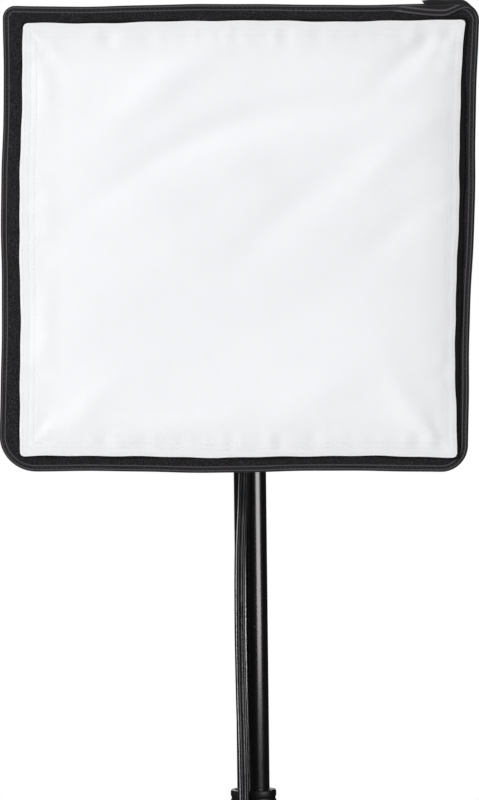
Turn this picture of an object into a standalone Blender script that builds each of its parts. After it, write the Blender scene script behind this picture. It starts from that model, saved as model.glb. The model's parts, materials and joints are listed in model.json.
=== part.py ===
"""A small square studio softbox on its lamp holder and folding light stand.

Units are metres and +Z is up. The softbox faces -Y. The stand's tubes share one vertical
axis, and the whole model is moved along Y so that its footprint is centred on the origin.
Gaps between touching pieces are TOUCH. Each moving piece has its origin on its joint's axis.
"""
import math

import bmesh
import bpy
from mathutils import Matrix, Vector

# ---------------------------------------------------------------- fits and gaps
TOUCH = 0.0003            # gap between pieces that touch
SLIDE = 0.0003            # radial gap between telescoping tubes
PIN_GAP = 0.0003          # radial gap around a pivot pin

# ---------------------------------------------------------------- stand tubes
TOP_R = 0.0110            # 22 mm tube
TUBE_WALL = 0.0012
MIDDLE_R = TOP_R + SLIDE + TUBE_WALL      # 25 mm tube
LOWER_R = MIDDLE_R + SLIDE + TUBE_WALL    # 28 mm tube
TOP_LENGTH = 0.400
MIDDLE_LENGTH = 0.385
LOWER_LENGTH = 0.405
LOWER_BOTTOM_Z = 0.052    # underside of the lower tube
MIDDLE_OUT = 0.048        # how far the middle tube stands out of the lower tube
TOP_OUT = 0.272           # how far the top tube stands out of the middle tube
GUIDE_HEIGHT = 0.012

# ---------------------------------------------------------------- locking collars
COLLAR_WALL = 0.0030
COLLAR_HEIGHT = 0.042
COLLAR_OVER = 0.026       # part of a collar above the end of the tube that carries it
COLLAR_MOUTH = 0.0010     # flare of the bore at the collar's mouth
BOSS_R = 0.0080
BOSS_OUT = 0.0110         # from the outside of the carrying tube to the boss's face
BOSS_DROP = 0.0150        # from the collar's top to the boss's axis
SCREW_R = 0.0030
KNOB_R = 0.0125
KNOB_HEIGHT = 0.0120
KNOB_LOBES = 6

# ---------------------------------------------------------------- legs
PIVOT_R = LOWER_R + 0.0160    # from the stand's axis to the leg and brace pivots
LEG_PIN_Z = 0.2550
FOOT_REACH = 0.3000       # from the stand's axis to the end of a leg
LEG_R = 0.0080
LEG_WALL = 0.0010
LEG_JOINT = 0.1900        # from a leg's pin to its brace
LUG_WIDTH = 0.0080        # thickness of a leg's flattened end
LUG_R = 0.0080
LEG_START = 0.0140        # from the pin to the start of the round tube
CLEVIS_WALL = 0.0040
CLEVIS_R = 0.0080
LEG_COLLAR_R = LOWER_R + 0.0065
LEG_COLLAR_HEIGHT = 0.0360
PIN_R = 0.0025
HUB_PIN_Z = 0.0760
HUB_R = LOWER_R + 0.0055
HUB_HEIGHT = 0.0220
BRACE_THICK = 0.0020
BRACE_WIDTH = 0.0120
FOOT_R = 0.0105
FOOT_SLEEVE = 0.0220
FOOT_FLAT = 0.0025        # how much of the foot's round end is flat on the floor
LEG_ANGLES = {"front": -90.0, "right": 30.0, "left": 150.0}

# ---------------------------------------------------------------- lamp axis and softbox
LAMP_ABOVE_TUBE = 0.1280  # from the top tube's end up to the lamp's axis
FRONT_Y = -0.2000         # front face of the loop tape
FRONT_WIDE = 0.3000
FRONT_HIGH = 0.2960
FRONT_CORNER = 0.0120
SHELL_THICK = 0.0012
SHELL_BOW = 0.0060        # outward bow of the sides between front and back
SHELL_STEPS = 5
LIP_WIDTH = 0.0180
BINDING_WIDTH = 0.0038
BINDING_DEPTH = 0.0065
TAPE_THICK = 0.0012
TAPE_WIDTH = 0.0160
DIFFUSER_WIDE = 0.2780
DIFFUSER_HIGH = 0.2760
DIFFUSER_THICK = 0.0012
DIFFUSER_CORNER = 0.0050
HOOK_WIDTH = 0.0100

# ---------------------------------------------------------------- mounting ring and ribs
RING_R = 0.0480
RING_BORE = 0.0345
RING_THICK = 0.0060
RING_BACK_Y = -0.0430
SOCKET_R = 0.0045
SOCKET_LENGTH = 0.0160
SOCKET_DEPTH = 0.0120
SOCKET_TILT = math.radians(50.0)
SOCKET_FROM_AXIS = 0.0412 # where a ferrule's axis meets the front of the ring
RIB_R = 0.0020
RIB_INSET = 0.0100        # from the shell's corner to the rib, along each side
RIB_POINTS = 9

# ---------------------------------------------------------------- lamp head
HEAD_R = 0.0300
HEAD_WALL = 0.0025
HEAD_FLANGE_R = 0.0335
HEAD_FRONT_Y = -0.0490
HEAD_BACK_Y = 0.0340
COVER_THICK = 0.0030
CERAMIC_R = 0.0205
CERAMIC_LENGTH = 0.0460
THREAD_R = 0.0140         # outside of the socket's metal screw shell
THREAD_WALL = 0.0005
BASE_R = 0.0128           # the lamp's 26 mm screw base
BASE_LENGTH = 0.0260
BULB_R = 0.0300
BULB_LENGTH = 0.0620
BULB_SHOULDER = 0.0380
ROCKER_WIDE = 0.0130
ROCKER_HIGH = 0.0190
BEZEL_EDGE = 0.0020
ROCKER_TILT = math.radians(9.0)
GLAND_X = -0.0035
GLAND_Y = -0.0300
GLAND_R = 0.0065
GLAND_LENGTH = 0.0240

# ---------------------------------------------------------------- tilt bracket
TILT_DROP = 0.0580        # from the lamp's axis down to the tilt axis
KNUCKLE_R = 0.0130
KNUCKLE_WIDE = 0.0085
BOLT_R = 0.0040
NUT_R = 0.0075
LEVER_HUB_R = 0.0090
LEVER_LENGTH = 0.0420
LEVER_CLEAR = 0.0068      # from the hub's inner face to the grip, past the adapter
SPIGOT_R = 0.0080
ADAPTER_R = SPIGOT_R + 0.0060
ADAPTER_TOP = 0.0180      # from the tilt axis down to the round part of the adapter
SPIGOT_HEIGHT = 0.0340
SPIGOT_FLANGE = 0.0040
CLAMP_DROP = 0.0440       # from the tilt axis down to the clamp screw
CLAMP_BOSS = ADAPTER_R + 0.0060

# ---------------------------------------------------------------- cord and plug
CORD_R = 0.0035
COIL_AT = (-0.1250, -0.0800)
COIL_R = 0.0395           # radius at the middle of the coil's turns
COIL_WIDE = 0.0150
COIL_HIGH = 0.0160
COIL_BOTTOM = 0.0004
CORD_STEP = 0.0150
CORD_SPLIT_Z = 0.5000     # the cord is one piece above this height and one below it
CORD_ROUTE = [            # x, y from the stand's axis, and z
    (-0.0035, -0.0300, 0.8475),
    (-0.0034, -0.0285, 0.8150),
    (-0.0034, -0.0240, 0.7700),
    (-0.0048, -0.0205, 0.7300),
    (-0.0067, -0.0195, 0.6900),
    (-0.0072, -0.0195, 0.6400),
    (-0.0068, -0.0200, 0.5950),
    (-0.0061, -0.0215, 0.5550),
    (-0.0062, -0.0230, 0.5100),
    (-0.0100, -0.0260, 0.4600),
    (-0.0200, -0.0310, 0.4100),
    (-0.0310, -0.0350, 0.3500),
    (-0.0375, -0.0370, 0.2600),
    (-0.0420, -0.0400, 0.1600),
    (-0.0480, -0.0450, 0.0800),
    (-0.0550, -0.0530, 0.0350),
    (-0.0640, -0.0650, 0.0140),
    (-0.0715, -0.0780, 0.0085),
    (-0.0740, -0.0850, 0.0080),
]
PLUG_LENGTH = 0.0300
PLUG_WIDE = 0.0220
PLUG_THICK = 0.0130
PLUG_TURN = math.radians(180.0)
PLUG_TAIL = 0.0280        # straight cord between the coil and the plug's sleeve
PLUG_SLEEVE = 0.0120
BLADE_LENGTH = 0.0160
BLADE_WIDE = 0.0063
BLADE_THICK = 0.0015
BLADE_SPACING = 0.0127

# ---------------------------------------------------------------- what follows from them
LOWER_TOP_Z = LOWER_BOTTOM_Z + LOWER_LENGTH
MIDDLE_TOP_Z = LOWER_TOP_Z + MIDDLE_OUT
TOP_TOP_Z = MIDDLE_TOP_Z + TOP_OUT
LAMP_Z = TOP_TOP_Z + LAMP_ABOVE_TUBE
TILT_Z = LAMP_Z - TILT_DROP
ADAPTER_BOTTOM = TILT_Z - TOP_TOP_Z - SPIGOT_FLANGE - TOUCH
FOOT_Z = FOOT_R - FOOT_FLAT
LEG_RUN = FOOT_REACH - PIVOT_R
LEG_FALL = LEG_PIN_Z - FOOT_Z
LEG_LENGTH = math.hypot(LEG_RUN, LEG_FALL)
LEG_SPLAY = math.atan2(LEG_RUN, LEG_FALL)
FOOTPRINT_FRONT = FOOT_REACH + FOOT_R
FOOTPRINT_BACK = (FOOT_REACH * math.sin(math.radians(LEG_ANGLES["right"]))
                  + FOOT_R)
STAND_Y = (FOOTPRINT_FRONT - FOOTPRINT_BACK) / 2

BACK_Y = RING_BACK_Y       # the shell's hem wraps the mounting ring
BACK_R = RING_R + TOUCH + SHELL_THICK

STEPS = 24
SMALL_STEPS = 16
PARTS = "Studio_softbox"
CUTTERS = "Cutters"


# ---------------------------------------------------------------- scene helpers
def clear_scene():
    for obj in list(bpy.data.objects):
        bpy.data.objects.remove(obj, do_unlink=True)


def collection(name):
    found = bpy.data.collections.get(name)
    if found is None:
        found = bpy.data.collections.new(name)
        bpy.context.scene.collection.children.link(found)
    return found


def material(name, color, roughness, metallic=0.0):
    mat = bpy.data.materials.get(name)
    if mat is None:
        mat = bpy.data.materials.new(name)
        mat.use_nodes = True
        shader = mat.node_tree.nodes["Principled BSDF"]
        shader.inputs["Base Color"].default_value = (*color, 1.0)
        shader.inputs["Roughness"].default_value = roughness
        shader.inputs["Metallic"].default_value = metallic
    return mat


def black_gloss():
    return material("Black gloss paint", (0.012, 0.012, 0.013), 0.22, 0.1)


def black_plastic():
    return material("Black plastic", (0.020, 0.020, 0.021), 0.45)


def black_fabric():
    return material("Black nylon", (0.025, 0.025, 0.027), 0.85)


def white_fabric():
    return material("White nylon", (0.88, 0.88, 0.90), 0.75)


def loop_fabric():
    return material("Loop tape", (0.030, 0.029, 0.031), 0.95)


def rubber():
    return material("Black rubber", (0.015, 0.015, 0.015), 0.80)


def steel():
    return material("Steel", (0.62, 0.62, 0.63), 0.30, 1.0)


def brass():
    return material("Brass", (0.70, 0.52, 0.25), 0.30, 1.0)


def ceramic():
    return material("White ceramic", (0.85, 0.84, 0.80), 0.35)


def opal():
    return material("Opal glass", (0.90, 0.90, 0.88), 0.30)


def white_plastic():
    return material("White plastic", (0.85, 0.85, 0.84), 0.40)


def finish(obj, mat, smooth=True):
    obj.data.materials.clear()
    obj.data.materials.append(mat)
    for owner in list(obj.users_collection):
        owner.objects.unlink(obj)
    collection(PARTS).objects.link(obj)
    if smooth and obj.type == "MESH":
        obj.data.shade_smooth()
        obj.data.set_sharp_from_angle(angle=math.radians(35.0))
    return obj


def new_object(name, mesh):
    obj = bpy.data.objects.new(name, mesh)
    bpy.context.scene.collection.objects.link(obj)
    return obj


def turned(name, profile, steps=STEPS, closed=True):
    """A profile of (radius, height) turned about the object's Z axis."""
    mesh = bpy.data.meshes.new(name)
    verts = [(r, 0.0, z) for r, z in profile]
    count = len(verts)
    edges = [(i, i + 1) for i in range(count - 1)]
    if closed:
        edges.append((count - 1, 0))
    mesh.from_pydata(verts, edges, [])
    obj = new_object(name, mesh)
    screw = obj.modifiers.new("Turn", "SCREW")
    screw.steps = steps
    screw.render_steps = steps
    screw.use_merge_vertices = True
    screw.merge_threshold = 0.00001
    screw.use_smooth_shade = True
    return obj


def ring_profile(inner, outer, bottom, top, ease=0.0):
    """The section of a plain ring, outer side first, top to bottom."""
    if ease <= 0.0:
        return [(outer, top), (outer, bottom), (inner, bottom), (inner, top)]
    return [(outer - ease, top), (outer, top - ease), (outer, bottom + ease),
            (outer - ease, bottom), (inner, bottom), (inner, top)]


def frozen(obj):
    """The object with its modifiers applied, as a mesh with welded vertices."""
    bpy.context.view_layer.update()
    graph = bpy.context.evaluated_depsgraph_get()
    mesh = bpy.data.meshes.new_from_object(obj.evaluated_get(graph), depsgraph=graph)
    work = bmesh.new()
    work.from_mesh(mesh)
    bmesh.ops.remove_doubles(work, verts=work.verts, dist=0.000001)
    bmesh.ops.recalc_face_normals(work, faces=work.faces)
    work.to_mesh(mesh)
    work.free()
    name = obj.name
    matrix = obj.matrix_world.copy()
    bpy.data.objects.remove(obj, do_unlink=True)
    made = new_object(name, mesh)
    made.matrix_world = matrix
    return made


def moved(obj, place=(0.0, 0.0, 0.0), turn=None):
    """The mesh moved inside its object, whose origin stays where it is."""
    matrix = Matrix.Translation(Vector(place))
    if turn is not None:
        matrix = matrix @ turn.to_4x4()
    obj.data.transform(matrix)
    return obj


def cylinder(name, radius, low, high, axis="Z", steps=SMALL_STEPS, at=(0.0, 0.0, 0.0)):
    """A round bar along an axis from low to high, through the point at."""
    work = bmesh.new()
    bmesh.ops.create_cone(work, cap_ends=True, segments=steps, radius1=radius,
                          radius2=radius, depth=high - low)
    bmesh.ops.translate(work, verts=work.verts, vec=(0.0, 0.0, (low + high) / 2))
    turn = {"X": Matrix.Rotation(math.pi / 2, 4, "Y"),
            "Y": Matrix.Rotation(-math.pi / 2, 4, "X"),
            "Z": Matrix.Identity(4)}[axis]
    bmesh.ops.transform(work, verts=work.verts, matrix=Matrix.Translation(at) @ turn)
    mesh = bpy.data.meshes.new(name)
    work.to_mesh(mesh)
    work.free()
    return new_object(name, mesh)


def block(name, low, high):
    """A box between two corners."""
    work = bmesh.new()
    bmesh.ops.create_cube(work, size=1.0)
    size = [b - a for a, b in zip(low, high)]
    centre = [(a + b) / 2 for a, b in zip(low, high)]
    bmesh.ops.scale(work, verts=work.verts, vec=size)
    bmesh.ops.translate(work, verts=work.verts, vec=centre)
    mesh = bpy.data.meshes.new(name)
    work.to_mesh(mesh)
    work.free()
    return new_object(name, mesh)


def combine(base, tool, operation):
    """A Boolean of two meshes that share the world's axes, then the tool is removed."""
    cut = base.modifiers.new(operation.title(), "BOOLEAN")
    cut.operation = operation
    cut.solver = "EXACT"
    cut.object = tool
    collection(CUTTERS)
    tool.hide_render = True
    tool.display_type = "WIRE"
    made = frozen(base)
    bpy.data.objects.remove(tool, do_unlink=True)
    return made


def join(base, tool):
    return combine(base, tool, "UNION")


def cut(base, tool):
    return combine(base, tool, "DIFFERENCE")


def trim(obj, point, outward):
    """Cuts a mesh by a plane, removes the side that outward points to and closes the cut."""
    work = bmesh.new()
    work.from_mesh(obj.data)
    every = work.verts[:] + work.edges[:] + work.faces[:]
    made = bmesh.ops.bisect_plane(work, geom=every, dist=0.000001, plane_co=point,
                                  plane_no=outward, clear_outer=True)
    rim = [g for g in made["geom_cut"] if isinstance(g, bmesh.types.BMEdge)]
    bmesh.ops.contextual_create(work, geom=rim)
    bmesh.ops.recalc_face_normals(work, faces=work.faces)
    work.to_mesh(obj.data)
    work.free()


def bevelled(obj, width, segments=1, angle=40.0):
    bevel = obj.modifiers.new("Bevel", "BEVEL")
    bevel.width = width
    bevel.segments = segments
    bevel.limit_method = "ANGLE"
    bevel.angle_limit = math.radians(angle)
    return obj


def rounded_square(half_x, half_y, corner, per_corner=5):
    """The points of a rectangle with round corners, anticlockwise."""
    points = []
    for k, (sx, sy) in enumerate([(1, 1), (-1, 1), (-1, -1), (1, -1)]):
        for i in range(per_corner):
            angle = math.pi / 2 * (k + i / (per_corner - 1))
            points.append((sx * (half_x - corner) + corner * math.cos(angle),
                           sy * (half_y - corner) + corner * math.sin(angle)))
    return points


def circle_points(radius, count, x=0.0, y=0.0):
    return [(x + radius * math.cos(2 * math.pi * i / count),
             y + radius * math.sin(2 * math.pi * i / count)) for i in range(count)]


def plate(name, loops, thickness):
    """A flat outline, with its holes, extruded about the object's XY plane."""
    curve = bpy.data.curves.new(name, "CURVE")
    curve.dimensions = "2D"
    curve.fill_mode = "BOTH"
    curve.extrude = thickness / 2
    for loop in loops:
        spline = curve.splines.new("POLY")
        spline.points.add(len(loop) - 1)
        for point, (x, y) in zip(spline.points, loop):
            point.co = (x, y, 0.0, 1.0)
        spline.use_cyclic_u = True
    return frozen(new_object(name, curve))


# a plate's X becomes -Y, its Y becomes -Z and its thickness runs along X
ON_EDGE = Matrix(((0.0, 0.0, 1.0), (-1.0, 0.0, 0.0), (0.0, -1.0, 0.0)))


def ear(name, base, pivot, radius, hole, low, high, arc=10):
    """A flat ear from base out to a round end about its pivot, both measured along -Y,
    standing across X from low to high."""
    outline = [(base, -radius), (pivot, -radius)]
    outline += [(pivot + radius * math.sin(a), -radius * math.cos(a))
                for a in [math.pi * i / arc for i in range(1, arc)]]
    outline += [(pivot, radius), (base, radius)]
    loops = [outline]
    if hole > 0.0:
        loops.append(circle_points(hole, 16, pivot, 0.0))
    obj = plate(name, loops, high - low)
    return moved(obj, ((low + high) / 2, 0.0, 0.0), ON_EDGE)


def stand(obj, x=0.0, y=0.0, z=0.0, turn=None):
    """Puts an object's origin at a place given from the stand's axis."""
    obj.location = (x, y + STAND_Y, z)
    if turn is not None:
        obj.rotation_euler = turn.to_euler()
    return obj


FACING_BACK = Matrix.Rotation(-math.pi / 2, 3, "X")    # local Z points along +Y
FACING_FRONT = Matrix.Rotation(math.pi / 2, 3, "X")    # local Z points along -Y


# ---------------------------------------------------------------- telescoping stand
def tube(name, radius, length, mat, top_z):
    """A tube whose origin is at its upper end."""
    obj = turned(name, ring_profile(radius - TUBE_WALL, radius, -length, 0.0, 0.0004))
    return finish(stand(obj, z=top_z), mat)


def build_tubes():
    tube("lower_tube", LOWER_R, LOWER_LENGTH, black_gloss(), LOWER_TOP_Z)
    tube("middle_tube", MIDDLE_R, MIDDLE_LENGTH, black_gloss(), MIDDLE_TOP_Z)
    tube("top_tube", TOP_R, TOP_LENGTH, black_gloss(), TOP_TOP_Z)
    plug_r = LOWER_R - TUBE_WALL - TOUCH
    profile = [(0.0, 0.010), (plug_r, 0.010), (plug_r, -TOUCH), (LOWER_R, -TOUCH),
               (LOWER_R, -0.0040), (LOWER_R - 0.0015, -0.0060), (0.0, -0.0060)]
    plug = turned("lower_tube_end_plug", profile, closed=False)
    finish(stand(plug, z=LOWER_BOTTOM_Z), rubber())


def collar(name, inner_tube, outer_tube, top_z):
    """A locking collar: its lower bore holds the outer tube, its mouth guides the inner."""
    radius = outer_tube + COLLAR_WALL
    step = -COLLAR_OVER
    mouth = inner_tube + SLIDE + COLLAR_MOUTH
    profile = [(mouth, 0.0), (radius - 0.0022, 0.0), (radius - 0.0006, -0.0007),
               (radius, -0.0022), (radius, -COLLAR_HEIGHT + 0.0010),
               (radius - 0.0010, -COLLAR_HEIGHT), (outer_tube + TOUCH, -COLLAR_HEIGHT),
               (outer_tube + TOUCH, step + TOUCH), (inner_tube + SLIDE, step + TOUCH),
               (inner_tube + SLIDE, -0.0050), (mouth, -0.0040)]
    body = frozen(turned(name, profile))
    start = inner_tube + SLIDE + 0.0012
    reach = outer_tube + BOSS_OUT
    boss = cylinder(name + "_boss", BOSS_R, start, reach, "Y", SMALL_STEPS,
                    (0.0, 0.0, -BOSS_DROP))
    body = join(body, boss)
    bore = cylinder(name + "_bore", SCREW_R + PIN_GAP, inner_tube - 0.0020,
                    reach + 0.01, "Y", SMALL_STEPS, (0.0, 0.0, -BOSS_DROP))
    body = cut(body, bore)
    # the boss may not fill the bore
    clear = cylinder(name + "_clear", inner_tube + SLIDE, step + TOUCH, 0.001, "Z", STEPS)
    body = cut(body, clear)
    return finish(stand(body, z=top_z), black_plastic())


def knob(name, reach, face):
    """A lobed knob on its screw, turning about the object's Z axis, which points outward.

    face is where the knob's underside sits and reach how far the screw's tip goes in."""
    points = []
    for i in range(KNOB_LOBES * 6):
        angle = 2 * math.pi * i / (KNOB_LOBES * 6)
        radius = KNOB_R * (0.94 + 0.06 * math.cos(KNOB_LOBES * angle))
        points.append((radius * math.cos(angle), radius * math.sin(angle)))
    head = plate(name, [points], KNOB_HEIGHT)
    moved(head, (0.0, 0.0, face + TOUCH + KNOB_HEIGHT / 2))
    shaft = cylinder(name + "_screw", SCREW_R, reach, face + TOUCH + 0.004)
    head = join(head, shaft)
    bevelled(head, 0.0010, 1, 60.0)
    return head


def build_collars():
    middle_top = MIDDLE_TOP_Z + COLLAR_OVER
    lower_top = LOWER_TOP_Z + COLLAR_OVER
    collar("middle_lock_collar", TOP_R, MIDDLE_R, middle_top)
    collar("lower_lock_collar", MIDDLE_R, LOWER_R, lower_top)
    for name, tube_r, carrier, top_z in (
            ("top_tube_lock_knob", TOP_R, MIDDLE_R, middle_top),
            ("middle_tube_lock_knob", MIDDLE_R, LOWER_R, lower_top)):
        obj = knob(name, tube_r + TOUCH, carrier + BOSS_OUT)
        finish(stand(obj, z=top_z - BOSS_DROP, turn=FACING_BACK), black_plastic())


# ---------------------------------------------------------------- folding base
def around(degrees):
    """Turns the base's -Y direction to a leg's direction, given as an angle from +X."""
    return Matrix.Rotation(math.radians(degrees + 90.0), 3, "Z")


def build_leg_collar():
    half = LEG_COLLAR_HEIGHT / 2
    body = frozen(turned("leg_collar", ring_profile(LOWER_R + SLIDE, LEG_COLLAR_R, -half,
                                                    half, 0.0012)))
    for degrees in LEG_ANGLES.values():
        for side in (-1, 1):
            inner = side * (LUG_WIDTH / 2 + TOUCH)
            outer = side * (LUG_WIDTH / 2 + TOUCH + CLEVIS_WALL)
            low_x, high_x = min(inner, outer), max(inner, outer)
            arm = ear("arm", LOWER_R + 0.0025, PIVOT_R, CLEVIS_R, PIN_R + PIN_GAP,
                      low_x, high_x)
            moved(arm, turn=around(degrees))
            body = join(body, arm)
    boss = cylinder("boss", BOSS_R, LOWER_R + 0.0025, LOWER_R + BOSS_OUT + 0.002, "Y")
    body = join(body, boss)
    bore = cylinder("bore", SCREW_R + PIN_GAP, LOWER_R - 0.002, LOWER_R + BOSS_OUT + 0.01, "Y")
    body = cut(body, bore)
    clear = cylinder("clear", LOWER_R + SLIDE, -half - 0.001, half + 0.001, "Z", STEPS)
    body = cut(body, clear)
    finish(stand(body, z=LEG_PIN_Z), black_plastic())
    obj = knob("leg_collar_lock_knob", LOWER_R + TOUCH, LOWER_R + BOSS_OUT + 0.002)
    finish(stand(obj, z=LEG_PIN_Z, turn=FACING_BACK), black_plastic())


def build_hub():
    half = HUB_HEIGHT / 2
    body = frozen(turned("brace_hub", ring_profile(LOWER_R + TOUCH, HUB_R, -half, half,
                                                   0.0010)))
    inner = LEG_R + TOUCH + BRACE_THICK + TOUCH
    outer = inner + CLEVIS_WALL
    for degrees in LEG_ANGLES.values():
        arm = ear("arm", 0.0100, PIVOT_R, 0.0070, 0.0, inner, outer)
        pin = cylinder("pin", PIN_R, LEG_R + TOUCH + 0.0001, inner + 0.001, "X", 16,
                       (0.0, -PIVOT_R, 0.0))
        arm = join(arm, pin)
        moved(arm, turn=around(degrees))
        body = join(body, arm)
    clear = cylinder("clear", LOWER_R + TOUCH, -half - 0.001, half + 0.001, "Z", STEPS)
    body = cut(body, clear)
    finish(stand(body, z=HUB_PIN_Z), black_plastic())


def leg_turn(degrees):
    """A leg hangs along local -Z and splays towards its own direction."""
    return around(degrees) @ Matrix.Rotation(-LEG_SPLAY, 3, "X")


def build_leg(side, degrees):
    name = "leg_" + side
    body = cylinder(name, LEG_R, -LEG_LENGTH, -LEG_START, "Z", SMALL_STEPS)
    lug = ear("lug", -LEG_START - 0.0040, 0.0, LUG_R - 0.0004, PIN_R + PIN_GAP,
              -LUG_WIDTH / 2, LUG_WIDTH / 2)
    # the ear's -Y points up the leg, past the pin
    moved(lug, turn=Matrix.Rotation(-math.pi / 2, 3, "X"))
    body = join(body, lug)
    hollow = cylinder("hollow", LEG_R - LEG_WALL, -LEG_LENGTH - 0.01,
                      -LEG_START - 0.012, "Z", SMALL_STEPS)
    body = cut(body, hollow)
    place = around(degrees) @ Vector((0.0, -PIVOT_R, 0.0))
    turn = leg_turn(degrees)
    finish(stand(body, place.x, place.y, LEG_PIN_Z, turn), black_gloss())
    reach = LUG_WIDTH / 2 + TOUCH + CLEVIS_WALL
    pin_profile = [(0.0, reach + 0.0018), (0.0032, reach + 0.0018), (0.0042, reach + 0.0008),
                   (0.0042, reach + TOUCH), (PIN_R, reach + TOUCH), (PIN_R, -reach),
                   (0.0, -reach)]
    pin = frozen(turned("leg_pin_" + side, pin_profile, 20, closed=False))
    moved(pin, turn=Matrix.Rotation(math.pi / 2, 3, "Y"))
    finish(stand(pin, place.x, place.y, LEG_PIN_Z, around(degrees)), steel())
    build_foot(side, place, turn)


def build_foot(side, place, turn):
    """A rubber boot with a round end, flattened where it stands on the floor."""
    sleeve = LEG_R + TOUCH
    top = -LEG_LENGTH + FOOT_SLEEVE
    arc = [(FOOT_R * math.cos(a), -LEG_LENGTH - FOOT_R * math.sin(a))
           for a in [math.pi / 2 * i / 6 for i in range(7)]]
    profile = [(0.0, -LEG_LENGTH - TOUCH), (sleeve, -LEG_LENGTH - TOUCH), (sleeve, top),
               (FOOT_R - 0.0010, top), (FOOT_R, top - 0.0010)] + arc[:-1]
    profile.append((0.0, -LEG_LENGTH - FOOT_R))
    boot = turned("foot_" + side, profile, SMALL_STEPS, closed=False)
    boot = frozen(boot)
    matrix = Matrix.Translation((place.x, place.y, LEG_PIN_Z)) @ turn.to_4x4()
    boot.data.transform(matrix)
    trim(boot, (0.0, 0.0, 0.0), (0.0, 0.0, -1.0))
    boot.data.transform(Matrix.Translation((0.0, STAND_Y, 0.0)))
    origin = Vector((place.x, place.y + STAND_Y, LEG_PIN_Z))
    boot.data.transform(Matrix.Translation(-origin))
    boot.location = origin
    finish(boot, rubber())


def build_brace(side, degrees):
    """A flat strip from the fixed hub to its leg, beside the leg."""
    joint_y = -(PIVOT_R + LEG_JOINT * math.sin(LEG_SPLAY))
    joint_z = LEG_PIN_Z - LEG_JOINT * math.cos(LEG_SPLAY)
    run = -joint_y - PIVOT_R
    rise = joint_z - HUB_PIN_Z
    length = math.hypot(run, rise)
    lift = math.atan2(rise, run)
    half = BRACE_WIDTH / 2
    outline = [(length + half * math.sin(a), -half * math.cos(a))
               for a in [math.pi * i / 8 for i in range(9)]]
    outline += [(-half * math.sin(a), half * math.cos(a))
                for a in [math.pi * i / 8 for i in range(9)]]
    hole = circle_points(PIN_R + PIN_GAP, 16)
    strip = plate("brace_" + side, [outline, hole], BRACE_THICK)
    moved(strip, (LEG_R + TOUCH + BRACE_THICK / 2, 0.0, 0.0), ON_EDGE)
    place = around(degrees) @ Vector((0.0, -PIVOT_R, 0.0))
    turn = around(degrees) @ Matrix.Rotation(-lift, 3, "X")
    finish(stand(strip, place.x, place.y, HUB_PIN_Z, turn), black_gloss())


def build_base():
    build_leg_collar()
    build_hub()
    for side, degrees in LEG_ANGLES.items():
        build_leg(side, degrees)
        build_brace(side, degrees)


# ---------------------------------------------------------------- spigot, adapter and tilt
def build_spigot():
    """The stud plugged into the top tube, with the groove for the clamp screw."""
    plug = TOP_R - TUBE_WALL - TOUCH
    top = SPIGOT_HEIGHT
    profile = [(0.0, top + 0.0090), (0.0026, top + 0.0090), (0.0031, top + 0.0080),
               (0.0031, top), (SPIGOT_R - 0.0010, top), (SPIGOT_R, top - 0.0010),
               (SPIGOT_R, 0.0300), (SPIGOT_R - 0.0010, 0.0285), (SPIGOT_R - 0.0010, 0.0180),
               (SPIGOT_R, 0.0165), (SPIGOT_R, SPIGOT_FLANGE), (TOP_R, SPIGOT_FLANGE), (TOP_R, TOUCH),
               (plug, TOUCH), (plug, -0.0150), (0.0, -0.0150)]
    obj = turned("spigot", profile, closed=False)
    finish(stand(obj, z=TOP_TOP_Z), steel())


def build_adapter():
    """The cast block on the spigot with the fixed half of the tilt knuckle."""
    low = -KNUCKLE_WIDE - TOUCH / 2
    high = -TOUCH / 2
    body = cylinder("stand_adapter", ADAPTER_R, -ADAPTER_BOTTOM, -ADAPTER_TOP, "Z", STEPS)
    arm = ear("arm", -ADAPTER_TOP - 0.0040, 0.0, KNUCKLE_R, BOLT_R + PIN_GAP, low, high)
    moved(arm, turn=Matrix.Rotation(-math.pi / 2, 3, "X"))
    body = join(body, arm)
    boss = cylinder("boss", BOSS_R, SPIGOT_R + 0.0020, CLAMP_BOSS, "Y", SMALL_STEPS,
                    (0.0, 0.0, -CLAMP_DROP))
    body = join(body, boss)
    socket = cylinder("socket", SPIGOT_R + TOUCH, -ADAPTER_BOTTOM - 0.01,
                      -ADAPTER_TOP - 0.0060, "Z", STEPS)
    body = cut(body, socket)
    thread = cylinder("thread", SCREW_R + PIN_GAP, 0.0, CLAMP_BOSS + 0.01, "Y",
                      SMALL_STEPS, (0.0, 0.0, -CLAMP_DROP))
    body = cut(body, thread)
    finish(stand(body, z=TILT_Z), black_plastic())
    obj = knob("spigot_clamp_knob", SPIGOT_R + TOUCH, CLAMP_BOSS)
    finish(stand(obj, z=TILT_Z - CLAMP_DROP, turn=FACING_BACK), black_plastic())


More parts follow.
